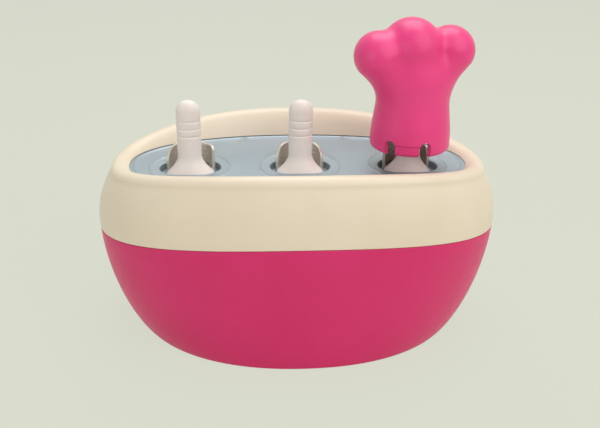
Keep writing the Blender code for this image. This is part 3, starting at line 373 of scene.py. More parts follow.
def makeLowerShell():
    # outside wall from the floor to the seam, a small rounded edge, the inside wall and the panel's ledge
    angles = planAngles(tub["around"])
    across, _ = planOf(angles)
    panelLow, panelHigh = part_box("base_panel")
    panelX = (panelHigh.x - panelLow.x) / 2 + tub["gap"]
    panelY = (panelHigh.y - panelLow.y) / 2 + tub["gap"]
    ledge = shell["ledge"]
    footEdge = shell["footEdge"]
    ceiling = panelHigh.z + tub["gap"]
    drop = tub["drop"]
    innerFloor = tub["floor"] + drop
    rings = [flatRing(angles, panelX - ledge, panelY - ledge, innerFloor),
             flatRing(angles, panelX - ledge, panelY - ledge, ceiling),
             flatRing(angles, panelX, panelY, ceiling),
             flatRing(angles, panelX, panelY, tub["floor"] + footEdge),
             flatRing(angles, panelX + footEdge, panelY + footEdge, tub["floor"])]
    top = seamOf(across) - tub["gap"]
    edge = tub["edge"]
    for step in np.linspace(0.0, 1.0, shell["sideRings"]):
        share = 1.0 - (1.0 - step ** tub["turn"]) ** (1.0 / tub["rise"])
        rings.append(wallRing(angles, tub["floor"] + (top - edge - tub["floor"]) * share, 0.0))
    for turn in quarterTurn:
        rings.append(wallRing(angles, top - edge + edge * math.sin(turn), edge * (1 - math.cos(turn))))
    rings.append(wallRing(angles, top, tub["shellWall"], drop))
    for share in shell["wallShares"]:
        rings.append(wallRing(angles, innerFloor + (top - innerFloor) * share, tub["shellWall"], drop))
    item = makeObject("lowerShell", [loftPart(np.array(rings), closedAlong=True)], materials["tubPink"])
    standFor(item, "lower_shell", "tub")


# upper rim: hollow bends the wall that falls to the tray; the tongue reaches down behind the seam
rim = {"footX": 0.105, "footY": 0.054, "hollow": 2.35, "bandRings": 20, "innerRings": 26,
       "crestIn": 0.0008, "crestDrop": 0.0004, "bendAcross": 0.2, "bendUp": 0.55, "bandMiddle": 0.55,
       "bandFoot": 0.008, "tongueTop": 0.004, "tongueFoot": 0.006, "tongueWall": 0.0024}


def makeUpperRim():
    # outer band, rounded crest, a hollowed inner wall down to the tray, and the tongue behind the seam
    angles = planAngles(tub["around"])
    across, _ = planOf(angles)
    crest = crestOf(across)
    seam = seamOf(across)
    edge = tub["edge"]
    lip = tub["lip"]
    low = seam + edge
    rings = []
    for turn in quarterTurn[::-1]:
        rings.append(wallRing(angles, low - edge * math.sin(turn), edge * (1 - math.cos(turn))))
    for share in np.linspace(0.0, 1.0, rim["bandRings"]):
        rings.append(wallRing(angles, low + (crest - lip - low) * share, 0.0))
    topX = tub["halfX"] - tub["lean"]
    topY = tub["halfY"] - tub["lean"]
    for turn in np.radians(np.arange(9.0, 90.1, 9.0)):
        inset = lip * (1 - math.cos(turn))
        rings.append(flatRing(angles, topX - inset, topY - inset, crest - lip * (1 - math.sin(turn))))
    crestRing = rings[-1]
    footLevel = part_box("mould_tray")[1].z + tub["gap"]
    foot = flatRing(angles, rim["footX"], rim["footY"], footLevel)
    for share in np.linspace(0.0, 1.0, rim["innerRings"])[1:]:
        ring = crestRing + (foot - crestRing) * share
        ring[:, 2] = crestRing[:, 2] + (footLevel - crestRing[:, 2]) * share**rim["hollow"]
        rings.append(ring)
    wall = tub["rimWall"]
    crestIn = rim["crestIn"]
    backFoot = flatRing(angles, rim["footX"] + wall, rim["footY"] + wall, footLevel)
    underCrest = flatRing(angles, topX - lip - crestIn, topY - lip - crestIn, crest - wall)
    rings.append(backFoot)
    bend = backFoot + (underCrest - backFoot) * rim["bendAcross"]
    bend[:, 2] = backFoot[:, 2] + (underCrest[:, 2] - backFoot[:, 2]) * rim["bendUp"]
    rings.append(bend)
    rings.append(underCrest)
    rings.append(flatRing(angles, topX - wall, topY - wall, crest - lip - rim["crestDrop"]))
    rings.append(wallRing(angles, seam + (crest - lip - seam) * rim["bandMiddle"], wall))
    rings.append(wallRing(angles, seam + rim["bandFoot"], wall))
    drop = tub["drop"]
    tongue = tub["shellWall"] + tub["gap"]
    tongueBack = tongue + rim["tongueWall"]
    rings.append(wallRing(angles, seam + rim["tongueTop"], tongueBack, drop))
    rings.append(wallRing(angles, seam - rim["tongueFoot"], tongueBack, drop))
    rings.append(wallRing(angles, seam - rim["tongueFoot"], tongue, drop))
    rings.append(wallRing(angles, seam, tongue, drop))
    item = makeObject("upperRim", [loftPart(np.array(rings), closedAlong=True)], materials["rimCream"])
    standFor(item, "upper_rim", "tub")


# tray: one cell of the plate round each cup, the cells meeting half way between cups; the seat is the
# groove that a guide stands in, and spread keeps neighbouring rows of points apart
tray = {"cups": [boxMiddle(name).x for name in ("stick_left", "stick_centre", "stick_right")],
        "row": boxMiddle("stick_centre").y, "top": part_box("mould_tray")[1].z, "thick": 0.003,
        "halfX": 0.109, "halfY": 0.069, "around": 288, "spread": 0.00006,
        "cupLength": 0.0266, "cupWidth": 0.0172, "draftX": 0.0018, "draftY": 0.0016,
        "cupBottom": 0.029, "cupRound": 0.005, "wall": 0.0024,
        "recessX": 0.0053, "recessY": 0.0039, "recess": 0.0045, "edge": 0.0007,
        "lineRadius": 0.0245, "lineWidth": 0.0007, "lineHeight": 0.00035,
        "borderX": 0.1022, "borderY": 0.0512, "flatShares": (0.3, 0.65),
        "seatIn": 0.0137, "seatOut": 0.0162, "seatDepth": 0.0012, "seatEdge": 0.0002, "seatMargin": 1.2,
        "sharpAngle": 32.0, "weld": 0.000002}


def outlineReach(angles, middle, halfX, halfY):
    # distance from a cup's middle to the plate's oval edge in each direction, found by halving an interval
    low = np.zeros_like(angles)
    high = np.full_like(angles, 0.5)
    for _ in range(48):
        tryAt = (low + high) / 2
        x = (middle + tryAt * np.cos(angles)) / halfX
        y = tryAt * np.sin(angles) / halfY
        inside = np.abs(x) ** tub["planPower"] + np.abs(y) ** tub["planPower"] < 1.0
        low = np.where(inside, tryAt, low)
        high = np.where(inside, high, tryAt)
    return (low + high) / 2


def longRound(angles, length, width):
    # distance to a straight-sided outline with round ends, from its middle
    run = (length - width) / 2
    cosine = np.abs(np.cos(angles))
    sine = np.maximum(np.abs(np.sin(angles)), 1e-9)
    side = width / 2 / sine
    end = run * cosine + np.sqrt(np.maximum((width / 2) ** 2 - (run * sine) ** 2, 0.0))
    return np.where(side * cosine <= run, side, end)


def bumpAt(offset, width):
    # one cosine hump, nothing outside its width
    return np.where(np.abs(offset) < width, 0.5 + 0.5 * np.cos(np.pi * offset / width), 0.0)


def outlineY(x):
    # half the plate's depth at a place along it, from the superellipse's own equation
    across = (abs(x - tray["cups"][1]) / tray["halfX"]) ** tub["planPower"]
    return tray["halfY"] * (1.0 - across) ** (1.0 / tub["planPower"])


def cellPart(index):
    # rows of points round one cup: up its inside, over the recess and guide seat, across the ring lines to
    # the plate's edge or the line half way to the next cup, then back underneath and down the cup's outside
    middle = tray["cups"][index]
    share = tray["cups"][2] / 2
    corner = math.atan2(float(outlineY(share)), share)
    around = tray["around"]
    angles = np.sort(np.concatenate([
        np.linspace(-np.pi, np.pi, around, endpoint=False) + np.pi / around,
        [corner, -corner, np.pi - corner, corner - np.pi]]))
    outer = outlineReach(angles, middle, tray["halfX"], tray["halfY"])
    border = outlineReach(angles, middle, tray["borderX"], tray["borderY"])
    limit = np.full_like(angles, 1.0)
    sides = []
    if index < 2:
        sides.append(np.cos(angles) > 0)
    if index > 0:
        sides.append(np.cos(angles) < 0)
    for side in sides:
        straight = share / np.maximum(np.abs(np.cos(angles)), 1e-9)
        limit = np.where(side, np.minimum(limit, straight), limit)
    shared = limit < outer + 1e-7
    edgeReach = np.minimum(outer, limit)
    top = tray["top"]
    floor = top - tray["recess"]
    edge = tray["edge"]
    rows = []

    def addRow(reach, height, forward=1.0):
        # forward is how much of the cups' step towards the front this row takes
        height = np.broadcast_to(np.asarray(height, float), angles.shape)
        rows.append(np.stack([middle + reach * np.cos(angles),
                              tray["row"] * forward + reach * np.sin(angles), height], axis=-1))

    def cupReach(height, grow):
        # the cup's outline, which narrows evenly with depth
        down = (floor - height) / (floor - tray["cupBottom"])
        return longRound(angles, tray["cupLength"] - 2 * tray["draftX"] * down + 2 * grow,
                         tray["cupWidth"] - 2 * tray["draftY"] * down + 2 * grow)

    low = tray["cupBottom"]
    turnRound = tray["cupRound"]
    for angle in np.radians([90.0, 70.0, 50.0, 30.0, 10.0]):
        height = low + turnRound * (1 - math.sin(angle))
        addRow(cupReach(height, -turnRound * (1 - math.cos(angle))), height)
    for height in np.linspace(low + turnRound, floor - edge, 12):
        addRow(cupReach(height, 0.0), height)
    for angle in np.radians([30.0, 60.0, 90.0]):
        addRow(cupReach(floor, edge * (1 - math.cos(angle))), floor - edge + edge * math.sin(angle))
    length = tray["cupLength"] + 2 * tray["recessX"]
    width = tray["cupWidth"] + 2 * tray["recessY"]
    for angle in np.radians([0.0, 30.0, 60.0, 90.0]):
        inset = 2 * edge * (1 - math.sin(angle))
        addRow(longRound(angles, length - inset, width - inset), floor + edge * (1 - math.cos(angle)))
    for angle in np.radians([0.0, 22.5, 45.0, 67.5, 90.0]):
        grow = 2 * edge * (1 - math.cos(angle))
        addRow(longRound(angles, length + grow, width + grow), top - edge + edge * math.sin(angle))
    last = longRound(angles, length + 2 * edge, width + 2 * edge)
    spread = tray["spread"]
    straightBack = np.pi / 2
    offset = np.abs((angles - straightBack + np.pi) % (2 * np.pi) - np.pi)
    inSeat = (offset < np.radians(guide["halfAngle"] + tray["seatMargin"])) & (last < tray["seatOut"])
    seatIn = tray["seatIn"]
    seatOut = tray["seatOut"]
    for reach, drop in ((seatIn - tray["seatEdge"], 0.0), (seatIn, 0.0), (seatIn, 1.0), (seatOut, 1.0),
                        (seatOut, 0.0), (seatOut + tray["seatEdge"], 0.0)):
        last = np.maximum(last + spread, reach)
        addRow(last, top - np.where(inSeat, tray["seatDepth"] * drop, 0.0))
    lineWidth = tray["lineWidth"]
    for shift in np.linspace(-lineWidth, lineWidth, 9):
        last = np.maximum(last + spread, tray["lineRadius"] + shift)
        addRow(last, top + tray["lineHeight"] * bumpAt(shift, lineWidth))
    room = edgeReach - spread * 14
    start = last
    for part in tray["flatShares"]:
        addRow(start + (np.minimum(border - lineWidth, room) - start) * part, top, 1.0 - part)
    for number, shift in enumerate(np.linspace(-lineWidth, lineWidth, 9)):
        reach = np.minimum(border + shift, room + spread * (number + 1))
        raised = tray["lineHeight"] * bumpAt(shift, lineWidth) * (border + lineWidth < room)
        addRow(reach, top + raised, 0.0)
    addRow(edgeReach, top, 0.0)
    topRow = len(rows) - 1
    under = top - tray["thick"]
    addRow(edgeReach, under, 0.0)
    grown = tray["wall"]
    addRow(longRound(angles, length + 2 * grown, width + 2 * grown), under)
    addRow(longRound(angles, length + 2 * grown, width + 2 * grown), floor - grown)
    addRow(cupReach(floor - grown, grown), floor - grown)
    addRow(cupReach(low + turnRound, grown), low + turnRound)
    outerRound = turnRound + grown
    for angle in np.radians([30.0, 60.0, 90.0]):
        height = low + turnRound - outerRound * math.sin(angle)
        addRow(cupReach(low + turnRound, grown - turnRound * (1 - math.cos(angle))), height)
    rings = np.array(rows)
    count, around, _ = rings.shape
    points = np.vstack([rings.reshape(-1, 3), rings[0].mean(axis=0), rings[-1].mean(axis=0)])
    quads = ringFaces(count, around).reshape(count - 1, around, 4)
    sideRow = quads[topRow]
    keepSide = ~(shared & np.roll(shared, -1) & sharedPair(angles, corner, sides))
    faces = [quads[:topRow].reshape(-1, 4), sideRow[keepSide], quads[topRow + 1:].reshape(-1, 4),
             fanFaces(0, count * around, around)[:, ::-1], fanFaces(count - 1, count * around + 1, around)]
    return points, faces


def sharedPair(angles, corner, sides):
    # true where the stretch from one direction to the next lies on the line shared with the next cell
    after = np.roll(angles, -1)
    after[-1] += 2 * np.pi
    middle = (angles + after) / 2
    near = np.abs((middle + np.pi) % (2 * np.pi) - np.pi)
    found = np.zeros_like(angles, bool)
    for side in sides:
        right = bool(side[np.argmin(np.abs(angles))])
        reach = near if right else np.pi - near
        found |= reach < corner
    return found


def makeTray():
    # the three cells become one skin, because their shared lines are welded
    parts = [cellPart(index) for index in range(3)]
    item = makeObject("mouldTray", parts, materials["trayMetal"], tray["sharpAngle"], tray["weld"])
    standFor(item, "mould_tray", "tub")


# guides: the short corner is at the end named in tallEnd, and both ends step down into the recess
guide = {"inner": 0.0140, "thick": 0.0019, "halfAngle": 72.0, "shortCorner": 0.0030, "longCorner": 0.0105,
         "endHeight": 0.0006, "footAngle": 50.5, "footGap": 0.0003,
         "tallEnd": {"left": 1, "centre": 0, "right": -1}, "around": 97, "endCrowding": 1.4,
         "stepWidth": 0.001, "upRings": 40, "edge": 0.0005, "ridge": 0.00012, "pitch": 0.0026,
         "ridgeSharp": 1.8, "ridgeCut": 0.8, "endFade": 0.002, "topFade": 0.001}


def makeGuides():
    # an upright wall carried along an arc behind each cup, its section running up the inner face, over
    # the rounded edge and down the outer face; the top falls in a quarter ellipse towards both ends
    edge = guide["edge"]
    inner = guide["inner"]
    outer = inner + guide["thick"]
    half = math.radians(guide["halfAngle"])
    stepDown = guide["footAngle"] / guide["halfAngle"]
    stepWidth = guide["stepWidth"]
    share = np.linspace(-1.0, 1.0, guide["around"])
    share = np.sign(share) * (1.0 - (1.0 - np.abs(share)) ** guide["endCrowding"])
    share = np.sort(np.append(share, [-stepDown - stepWidth, -stepDown, stepDown, stepDown + stepWidth]))
    heading = np.pi / 2 - half * share
    run = (1.0 - np.abs(share)) * half * inner
    footFloor = tray["top"] - tray["recess"] + guide["footGap"]
    seatFloor = tray["top"] - tray["seatDepth"] + guide["footGap"]
    low = np.where(np.abs(share) > stepDown + stepWidth / 2, footFloor, seatFloor)
    thin = 0.5 + 0.5 * np.sqrt(1.0 - (1.0 - np.clip(run / edge, 0.0, 1.0)) ** 2)
    rise = np.linspace(0.0, 1.0, guide["upRings"])[:-1, None]
    turn = np.append(0.0, quarterTurn)[:, None]
    for name, middle in zip(("left", "centre", "right"), tray["cups"]):
        node = f"stick_guide_{name}"
        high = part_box(node)[1].z
        tall = share * guide["tallEnd"][name] > 0
        corner = np.where(tall, guide["shortCorner"], guide["longCorner"])
        fall = np.minimum(corner, high - tray["top"] - guide["endHeight"])
        top = high - fall * (1.0 - np.sqrt(1.0 - np.clip((corner - run) / corner, 0.0, 1.0) ** 2))
        wall = top - edge - low
        faceZ = low + wall * rise
        phase = (faceZ - seatFloor) / guide["pitch"] - heading / (2 * np.pi)
        wave = np.cos(2 * np.pi * phase) * guide["ridgeSharp"] - guide["ridgeCut"]
        thread = guide["ridge"] * np.clip(wave, 0.0, 1.0)
        topFade = guide["topFade"]
        fade = np.clip((top - faceZ - topFade) / topFade, 0.0, 1.0)
        thread = thread * np.clip(run / guide["endFade"], 0.0, 1.0) * fade
        edgeZ = low + wall + edge * np.sin(turn)
        rounding = np.broadcast_to(edge * (1 - np.cos(turn)), edgeZ.shape)
        radius = np.concatenate([inner - thread, inner + rounding, (outer - rounding)[::-1],
                                 np.full_like(faceZ, outer)])
        height = np.concatenate([faceZ, edgeZ, edgeZ[::-1], faceZ[::-1]])
        radius = (inner + outer) / 2 + (radius - (inner + outer) / 2) * thin
        rings = np.stack([middle + radius * np.cos(heading),
                          tray["row"] + radius * np.sin(heading), height], axis=-1)
        # the guides' metal colour holds a painted reflection of the cream rim and stick
        item = makeObject(f"stickGuide{name.capitalize()}", [loftPart(rings.transpose(1, 0, 2))],
                          materials["guideMetalPaintedReflection"])
        standFor(item, node, "tub")


# sticks: seat is where the flare rests on the tray, and the grooves are measured down from the top
stick = {"top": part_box("stick_centre")[1].z, "bottom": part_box("stick_centre")[0].z,
         "handleX": 0.0073, "handleY": 0.0054, "neckX": 0.0072, "seat": 0.0978, "plug": 0.0060,
         "flareX": 0.0144, "flareY": 0.0105, "flareRise": 0.0120, "lip": 0.0011, "bladeX": 0.006,
         "bladeY": 0.0016, "grooves": (0.0217, 0.0172, 0.0125), "grooveDepth": 0.0005, "grooveWidth": 0.0008,
         "around": 120, "capShare": 0.95, "tipHeight": 0.003, "mouthGapX": 0.0014, "mouthGapY": 0.0008,
         "flareCurve": 1.75, "lipIn": 0.0005, "widenOver": 0.008, "capPower": 0.85}


def stickRings():
    # oval sections stacked up the stick; half width, half depth and squareness are functions of height:
    # a flat blade, a plug that swells into the mouth of the cup, a flare with a rounded lip, and the grip
    angles = planAngles(stick["around"])
    top = stick["top"]
    seat = stick["seat"]
    plug = stick["plug"]
    lip = stick["lip"]
    neckZ = seat + stick["flareRise"]
    cap = stick["handleX"] * stick["capShare"]
    heights = np.concatenate([
        np.linspace(stick["bottom"], seat - plug, 30),
        np.linspace(seat - plug + 0.0002, seat - 0.0004, 12),
        seat + lip * (1.0 - np.cos(np.linspace(0.0, np.pi, 15))) / 2,
        np.linspace(seat + lip + 0.0002, neckZ, 40),
        np.linspace(neckZ + 0.0003, top - cap, 120),
        top - cap + cap * np.sin(np.linspace(0.04, np.pi / 2 - 0.02, 36))])[:, None]
    tip = np.clip((heights - stick["bottom"]) / stick["tipHeight"], 0.0, 1.0)
    tip = np.sqrt(1.0 - (1.0 - tip) ** 2)
    bladeX = stick["bladeX"] * (0.6 + 0.4 * tip)
    bladeY = stick["bladeY"] * (0.5 + 0.5 * tip)
    swell = np.clip((heights - seat + plug) / plug, 0.0, 1.0)
    swell = swell * swell * (3 - 2 * swell)
    mouthX = stick["flareX"] - stick["mouthGapX"]
    mouthY = tray["cupWidth"] / 2 - stick["mouthGapY"]
    lowX = bladeX + (mouthX - bladeX) * swell
    lowY = bladeY + (mouthY - bladeY) * swell
    fall = 1.0 - np.clip((heights - seat - lip) / (neckZ - seat - lip), 0.0, 1.0)
    fall = fall ** stick["flareCurve"]
    edge = np.clip((heights - seat) / lip, 0.0, 1.0)
    edge = np.sqrt(np.clip(1.0 - (1.0 - 2 * edge) ** 2, 0.0, 1.0)) * stick["lipIn"] - stick["lipIn"]
    edge = np.where(heights < seat + lip / 2, edge, 0.0)
    highX = stick["neckX"] + (stick["flareX"] - stick["neckX"]) * fall + edge
    highY = stick["handleY"] + (stick["flareY"] - stick["handleY"]) * fall + edge
    widen = np.clip((heights - neckZ) / stick["widenOver"], 0.0, 1.0)
    highX = highX + (stick["handleX"] - stick["neckX"]) * widen
    turn = np.cos(np.arcsin(np.clip((heights - top + cap) / cap, 0.0, 1.0))) ** stick["capPower"]
    highX = highX * turn
    highY = highY * turn
    for groove in stick["grooves"]:
        offset = (heights - top + groove) / stick["grooveWidth"]
        cut = stick["grooveDepth"] * np.exp(-np.where(offset > 0, offset, offset * 2.0) ** 2)
        highX = highX - 0.35 * cut
        highY = highY - cut
    below = heights < seat
    halfX = np.where(below, lowX, highX)
    halfY = np.where(below, lowY, highY)
    power = np.where(below, 3.0 - swell, 2.0 + 0.4 * fall)
    cosine = signedPower(np.cos(angles)[None, :], power)
    sine = signedPower(np.sin(angles)[None, :], power)
    return np.stack([halfX * cosine, halfY * sine, np.broadcast_to(heights, cosine.shape)], axis=-1)


def makeSticks():
    # the same stick stands in each cup
    rings = stickRings()
    for name, middle in zip(("left", "centre", "right"), tray["cups"]):
        shift = np.array([middle, tray["row"], 0.0])
        points, faces = loftPart(rings)
        item = makeObject(f"stick{name.capitalize()}", [(points + shift, faces)], materials["stickWhite"])
        standFor(item, f"stick_{name}", f"{name}_stick")


# removal tool: heights are measured up from the skirt's foot, and each finger of the knob is its foot, its
# head, its radius at each and how much deeper than wide it is
tool = {"axis": boxMiddle("tool_thread_sleeve").x, "bottom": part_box("tool_grip")[0].z,
        "skirt": 0.0244, "wall": 0.0040, "neck": 0.0219, "neckZ": 0.0330, "skirtZ": 0.006, "round": 0.0026,
        "slotTurn": -15.0, "slotAngle": 26.0, "slotWidth": 0.0070, "slotHeight": 0.0095,
        "stepHeight": 0.0072, "stepDepth": 0.0009, "stepEdge": 0.0004, "stepSide": 0.02,
        "shellTop": 0.016, "capEdge": 0.004, "boreGap": 0.0003, "evenFrom": 0.55, "evenOver": 0.45,
        "sharpAngle": 42.0}
knob = {"middle": 0.0500, "turn": 8.0, "fingerBlend": 0.0050, "trunkBlend": 0.0070, "reach": 0.06,
        "domeStart": 0.010, "domeHeight": 0.026, "domeMost": 1.4, "domeIn": 0.0150,
        "rows": 70, "fanRows": 30,
        "left": ((-0.0075, 0.0, 0.036), (-0.0229, 0.0, 0.0562), 0.0105, 0.0146, 1.14),
        "right": ((0.0075, 0.0, 0.036), (0.0209, 0.0, 0.0585), 0.0105, 0.0146, 1.14),
        "centre": ((-0.0010, 0.0, 0.036), (-0.0030, 0.0, 0.0605), 0.0140, 0.0176, 1.16)}


def smoothUnion(first, second, width):
    # the smaller of two distances, rounded off where they are within width of each other
    near = np.clip(0.5 + 0.5 * (second - first) / width, 0.0, 1.0)
    return second * (1 - near) + first * near - width * near * (1 - near)


def fingerField(points, foot, head, footSize, headSize, depth):
    # rough distance to a finger that swells from foot to head, deeper from front to back than across
    foot = np.array(foot)
    head = np.array(head)
    span = head - foot
    scaled = points - foot
    along = np.clip((scaled @ span) / (span @ span), 0.0, 1.0)
    offset = scaled - along[..., None] * span
    offset = offset / np.array([1.0, depth, 1.0])
    size = footSize + (headSize - footSize) * along
    return np.sqrt((offset**2).sum(axis=-1)) - size


def trunkRadius(height):
    # skirt radius at the foot, easing in to the neck, then held above it
    share = np.clip((height - tool["skirtZ"]) / (tool["neckZ"] - tool["skirtZ"]), 0.0, 1.0)
    ease = share * share * (3 - 2 * share)
    return tool["skirt"] + (tool["neck"] - tool["skirt"]) * ease


def knobField(points):
    # the trunk under a soft dome, three fingers swelling out of it, everything blended smoothly together
    height = points[..., 2]
    turn = math.radians(knob["turn"])
    turned = np.stack([points[..., 0] * math.cos(turn) + points[..., 1] * math.sin(turn),
                       points[..., 1] * math.cos(turn) - points[..., 0] * math.sin(turn), height], axis=-1)
    radial = np.sqrt(points[..., 0] ** 2 + points[..., 1] ** 2)
    above = (height - knob["middle"] + knob["domeStart"]) / knob["domeHeight"]
    above = np.clip(above, 0.0, knob["domeMost"])
    trunk = radial - trunkRadius(height) + knob["domeIn"] * above**2
    left = fingerField(turned, *knob["left"])
    right = fingerField(turned, *knob["right"])
    centre = fingerField(turned, *knob["centre"])
    fingers = smoothUnion(smoothUnion(left, centre, knob["fingerBlend"]), right, knob["fingerBlend"])
    return smoothUnion(fingers, trunk, knob["trunkBlend"])


def knobSurface(angles):
    # rays leave the axis level up to the knob's middle and then fan upwards; halving finds the skin on each
    rows = knob["rows"]
    middle = knob["middle"]
    level = np.linspace(tool["shellTop"], middle, rows)
    fan = np.linspace(0.0, np.pi / 2, rows + knob["fanRows"])[1:-1]
    tilt = np.concatenate([np.zeros(rows), fan])
    origin = np.concatenate([level, np.full(len(fan), middle)])
    direction = np.stack([np.cos(tilt)[:, None] * np.cos(angles)[None, :],
                          np.cos(tilt)[:, None] * np.sin(angles)[None, :],
                          np.repeat(np.sin(tilt)[:, None], len(angles), axis=1)], axis=-1)
    start = np.zeros_like(direction)
    start[..., 2] = origin[:, None]
    low = np.zeros(direction.shape[:2])
    high = np.full(direction.shape[:2], knob["reach"])
    for _ in range(40):
        tryAt = (low + high) / 2
        inside = knobField(start + direction * tryAt[..., None]) < 0.0
        low = np.where(inside, tryAt, low)
        high = np.where(inside, high, tryAt)
    return start + direction * ((low + high) / 2)[..., None]


def slotPath():
    # the skirt's lower edge as headings and heights: along the foot, up each slot's side and over its top
    half = tool["slotWidth"] / 2 / tool["skirt"]
    straight = tool["slotHeight"] - tool["slotWidth"] / 2
    centres = np.radians([-90 - tool["slotAngle"], -90 + tool["slotAngle"],
                          90 - tool["slotAngle"], 90 + tool["slotAngle"]]) + math.radians(tool["slotTurn"])
    headings = []
    heights = []
    ends = np.append(centres[1:], centres[0] + 2 * np.pi)
    for centre, following in zip(centres, ends):
        rise = np.linspace(0.0, straight, 9)
        arc = np.linspace(np.pi, 0.0, 15)[1:-1]
        headings.append(np.full(9, centre - half))
        heights.append(rise)
        headings.append(centre + half * np.cos(arc))
        heights.append(straight + tool["slotWidth"] / 2 * np.sin(arc))
        headings.append(np.full(9, centre + half))
        heights.append(rise[::-1])
        gap = following - centre - 2 * half
        steps = max(6, int(gap / math.radians(1.5)))
        foot = np.linspace(centre + half, following - half, steps + 1)[1:-1]
        headings.append(foot)
        heights.append(np.zeros(len(foot)))
    return np.concatenate(headings), np.concatenate(heights)


def tabStep(heading, height):
    # the tab between the two slots is set back below its step, front and back
    found = np.zeros_like(heading)
    for side in (-90.0, 90.0):
        centre = math.radians(side + tool["slotTurn"])
        offset = np.abs((heading - centre + np.pi) % (2 * np.pi) - np.pi)
        within = np.clip((math.radians(tool["slotAngle"]) - offset) / tool["stepSide"], 0.0, 1.0)
        found = np.maximum(found, within)
    below = np.clip((tool["stepHeight"] - height) / tool["stepEdge"], 0.0, 1.0)
    return tool["stepDepth"] * found * below * below * (3 - 2 * below)


def makeToolGrip():
    # rings from the top of the inside, down the inner wall, out round the slotted foot and up to the knob;
    # each ring starts as the foot's own path and evens out on its way up
    heading, edgeHeight = slotPath()
    count = len(heading)
    even = np.linspace(heading[0], heading[0] + 2 * np.pi, count, endpoint=False)
    joinTop = tool["shellTop"]
    skirt = tool["skirt"]
    inner = skirt - tool["wall"]

    def wallRow(share, radiusOf):
        # share runs from the slotted foot, 0, to the top of the skirt, 1
        evenness = max(0.0, (share - tool["evenFrom"]) / tool["evenOver"]) ** 1.5
        angle = heading + (even - heading) * evenness
        height = edgeHeight + (joinTop - edgeHeight) * share
        radius = radiusOf(angle, height)
        return np.stack([radius * np.cos(angle), radius * np.sin(angle), height], axis=-1)

    def outerRadius(angle, height):
        # the trunk, less its rounded foot and the set-back tab
        corner = np.clip((tool["round"] - height) / tool["round"], 0.0, 1.0)
        curve = tool["round"] * (1 - np.sqrt(np.maximum(1 - corner**2, 0.0)))
        return trunkRadius(height) - curve - tabStep(angle, height)

    def innerRadius(angle, height):
        return np.full_like(height, inner)

    sleeveLow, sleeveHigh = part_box("tool_thread_sleeve")
    bore = (sleeveHigh.x - sleeveLow.x) / 2 + tool["boreGap"]
    capInside = sleeveHigh.z + tool["boreGap"] - tool["bottom"]
    rows = []
    for height in (capInside, joinTop + tool["capEdge"]):
        rows.append(np.stack([bore * np.cos(even), bore * np.sin(even), np.full(count, height)], axis=-1))
    rows.append(wallRow(1.0, innerRadius))
    for share in np.linspace(1.0, 0.0, 24)[1:]:
        rows.append(wallRow(share, innerRadius))
    for share in 1.0 - np.cos(np.linspace(0.0, np.pi / 2, 34)):
        rows.append(wallRow(share, outerRadius))
    points, faces = loftPart(np.concatenate([np.array(rows), knobSurface(even)[1:]]))
    points = points + np.array([tool["axis"], tray["row"], tool["bottom"]])
    item = makeObject("toolGrip", [(points, faces)], materials["toolPink"], tool["sharpAngle"])
    standFor(item, "tool_grip", "tool")


# nodes that keep their own shape, with the finish each one takes
keptLooks = {"base_panel": "tubPink", "coolant_tank": "tankPlastic", "tray_gasket": "gasketRubber",
             "coolant_fill": "freezingGel", "insulation_liner": "foam", "filler_plug": "plugPlastic",
             "plug_seal_ring": "gasketRubber", "tool_thread_sleeve": "sleevePlastic"}
for number in range(1, 5):
    keptLooks[f"base_screw_{number}"] = "screwSteel"
    keptLooks[f"foot_{number}"] = "footRubber"
for number in range(1, 7):
    keptLooks[f"tray_screw_{number}"] = "screwSteel"
for node, look in keptLooks.items():
    slots = nodes[node].material_slots
    if slots:
        for slot in slots:
            slot.material = materials[look]
    else:
        nodes[node].data.materials.append(materials[look])
print("kept nodes", len(keptLooks))
makeLowerShell()
makeUpperRim()
makeTray()
makeGuides()
makeSticks()
makeToolGrip()


# studio: each lamp is its name, place, size, power and colour; all aim at the middle of the object
backdrop = (0.708, 0.730, 0.624)  # pale greenish grey
studio = {"sky": 0.40, "skyColour": (1.0, 0.99, 0.97), "floorShow": 0.90, "floorSize": 14.0, "floorCuts": 8,
          "floorCloud": 2.0, "floorShade": 0.985, "floorRough": 0.9, "floorGloss": 0.1,
          "aim": (0.0, 0.0, 0.08),
          "lamps": [("key", (0.60, -0.70, 1.00), 1.50, 9.4, (1.0, 0.985, 0.96)),
                    ("top", (0.10, 0.42, 1.10), 0.80, 5.6, (1.0, 1.0, 1.0)),
                    ("fill", (-0.90, -0.60, 0.45), 0.80, 1.6, (0.96, 0.98, 1.0))]}


def seenRays(nodesOf, links):
    # one where the ray comes from the camera, a reflection or through glass
    path = nodesOf.new("ShaderNodeLightPath")
    first = nodesOf.new("ShaderNodeMath")
    first.operation = "MAXIMUM"
    links.new(path.outputs["Is Camera Ray"], first.inputs[0])
    links.new(path.outputs["Is Glossy Ray"], first.inputs[1])
    second = nodesOf.new("ShaderNodeMath")
    second.operation = "MAXIMUM"
    links.new(first.outputs[0], second.inputs[0])
    links.new(path.outputs["Is Transmission Ray"], second.inputs[1])
    return second.outputs[0]


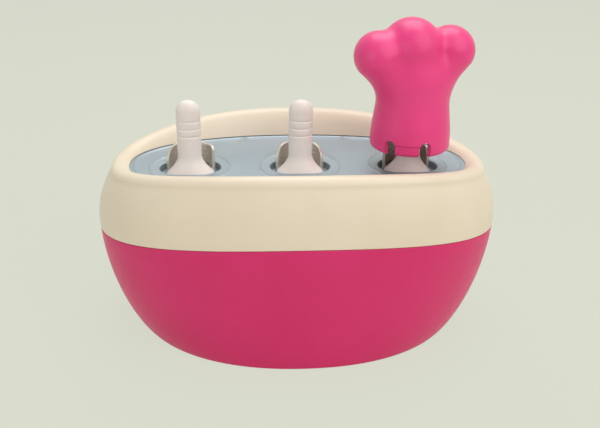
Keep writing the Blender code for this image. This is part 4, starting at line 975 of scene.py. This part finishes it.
def makeFloor():
    # a pale sheet of paper that shows its own colour and still takes the object's shadow
    cuts = studio["floorCuts"]
    bpy.ops.mesh.primitive_grid_add(x_subdivisions=cuts, y_subdivisions=cuts, size=studio["floorSize"])
    floor = bpy.context.object
    floor.name = "studioFloor"
    material, nodesOf, links, shader = newMaterial("floorPaper")
    coords = nodesOf.new("ShaderNodeTexCoord").outputs["Object"]
    cloud = addNoise(nodesOf, links, coords, studio["floorCloud"], 2.0)
    shade = tuple(studio["floorShade"] * v for v in backdrop)
    colour = blendColours(nodesOf, links, cloud, backdrop, shade)
    links.new(colour, shader.inputs["Base Color"])
    shader.inputs["Roughness"].default_value = studio["floorRough"]
    shader.inputs["Specular IOR Level"].default_value = studio["floorGloss"]
    glow = nodesOf.new("ShaderNodeEmission")
    links.new(colour, glow.inputs["Color"])
    share = nodesOf.new("ShaderNodeMath")
    share.operation = "MULTIPLY"
    share.inputs[1].default_value = studio["floorShow"]
    links.new(seenRays(nodesOf, links), share.inputs[0])
    mix = nodesOf.new("ShaderNodeMixShader")
    links.new(share.outputs[0], mix.inputs[0])
    links.new(shader.outputs[0], mix.inputs[1])
    links.new(glow.outputs[0], mix.inputs[2])
    links.new(mix.outputs[0], nodesOf["Material Output"].inputs["Surface"])
    floor.data.materials.append(material)
    print("floor", studio["floorSize"], "m")


def makeLights():
    # a soft room for light, the backdrop's colour where the room is seen, and three square lamps
    world = bpy.data.worlds.new("softRoom")
    bpy.context.scene.world = world
    world.use_nodes = True
    nodesOf = world.node_tree.nodes
    links = world.node_tree.links
    room = nodesOf["Background"]
    room.inputs["Color"].default_value = (*studio["skyColour"], 1.0)
    room.inputs["Strength"].default_value = studio["sky"]
    seen = nodesOf.new("ShaderNodeBackground")
    seen.inputs["Color"].default_value = (*backdrop, 1.0)
    seen.inputs["Strength"].default_value = 1.0
    mix = nodesOf.new("ShaderNodeMixShader")
    links.new(seenRays(nodesOf, links), mix.inputs[0])
    links.new(room.outputs[0], mix.inputs[1])
    links.new(seen.outputs[0], mix.inputs[2])
    links.new(mix.outputs[0], nodesOf["World Output"].inputs["Surface"])
    for name, place, size, power, colour in studio["lamps"]:
        data = bpy.data.lights.new(name, "AREA")
        data.size = size
        data.energy = power
        data.color = colour
        lamp = bpy.data.objects.new(name, data)
        lamp.location = place
        aim = Vector(studio["aim"]) - Vector(place)
        lamp.rotation_euler = aim.to_track_quat("-Z", "Y").to_euler()
        bpy.context.scene.collection.objects.link(lamp)
    print("lamps", len(studio["lamps"]))


makeFloor()
makeLights()
placeCamera()
bpy.context.scene.view_settings.view_transform = "Standard"
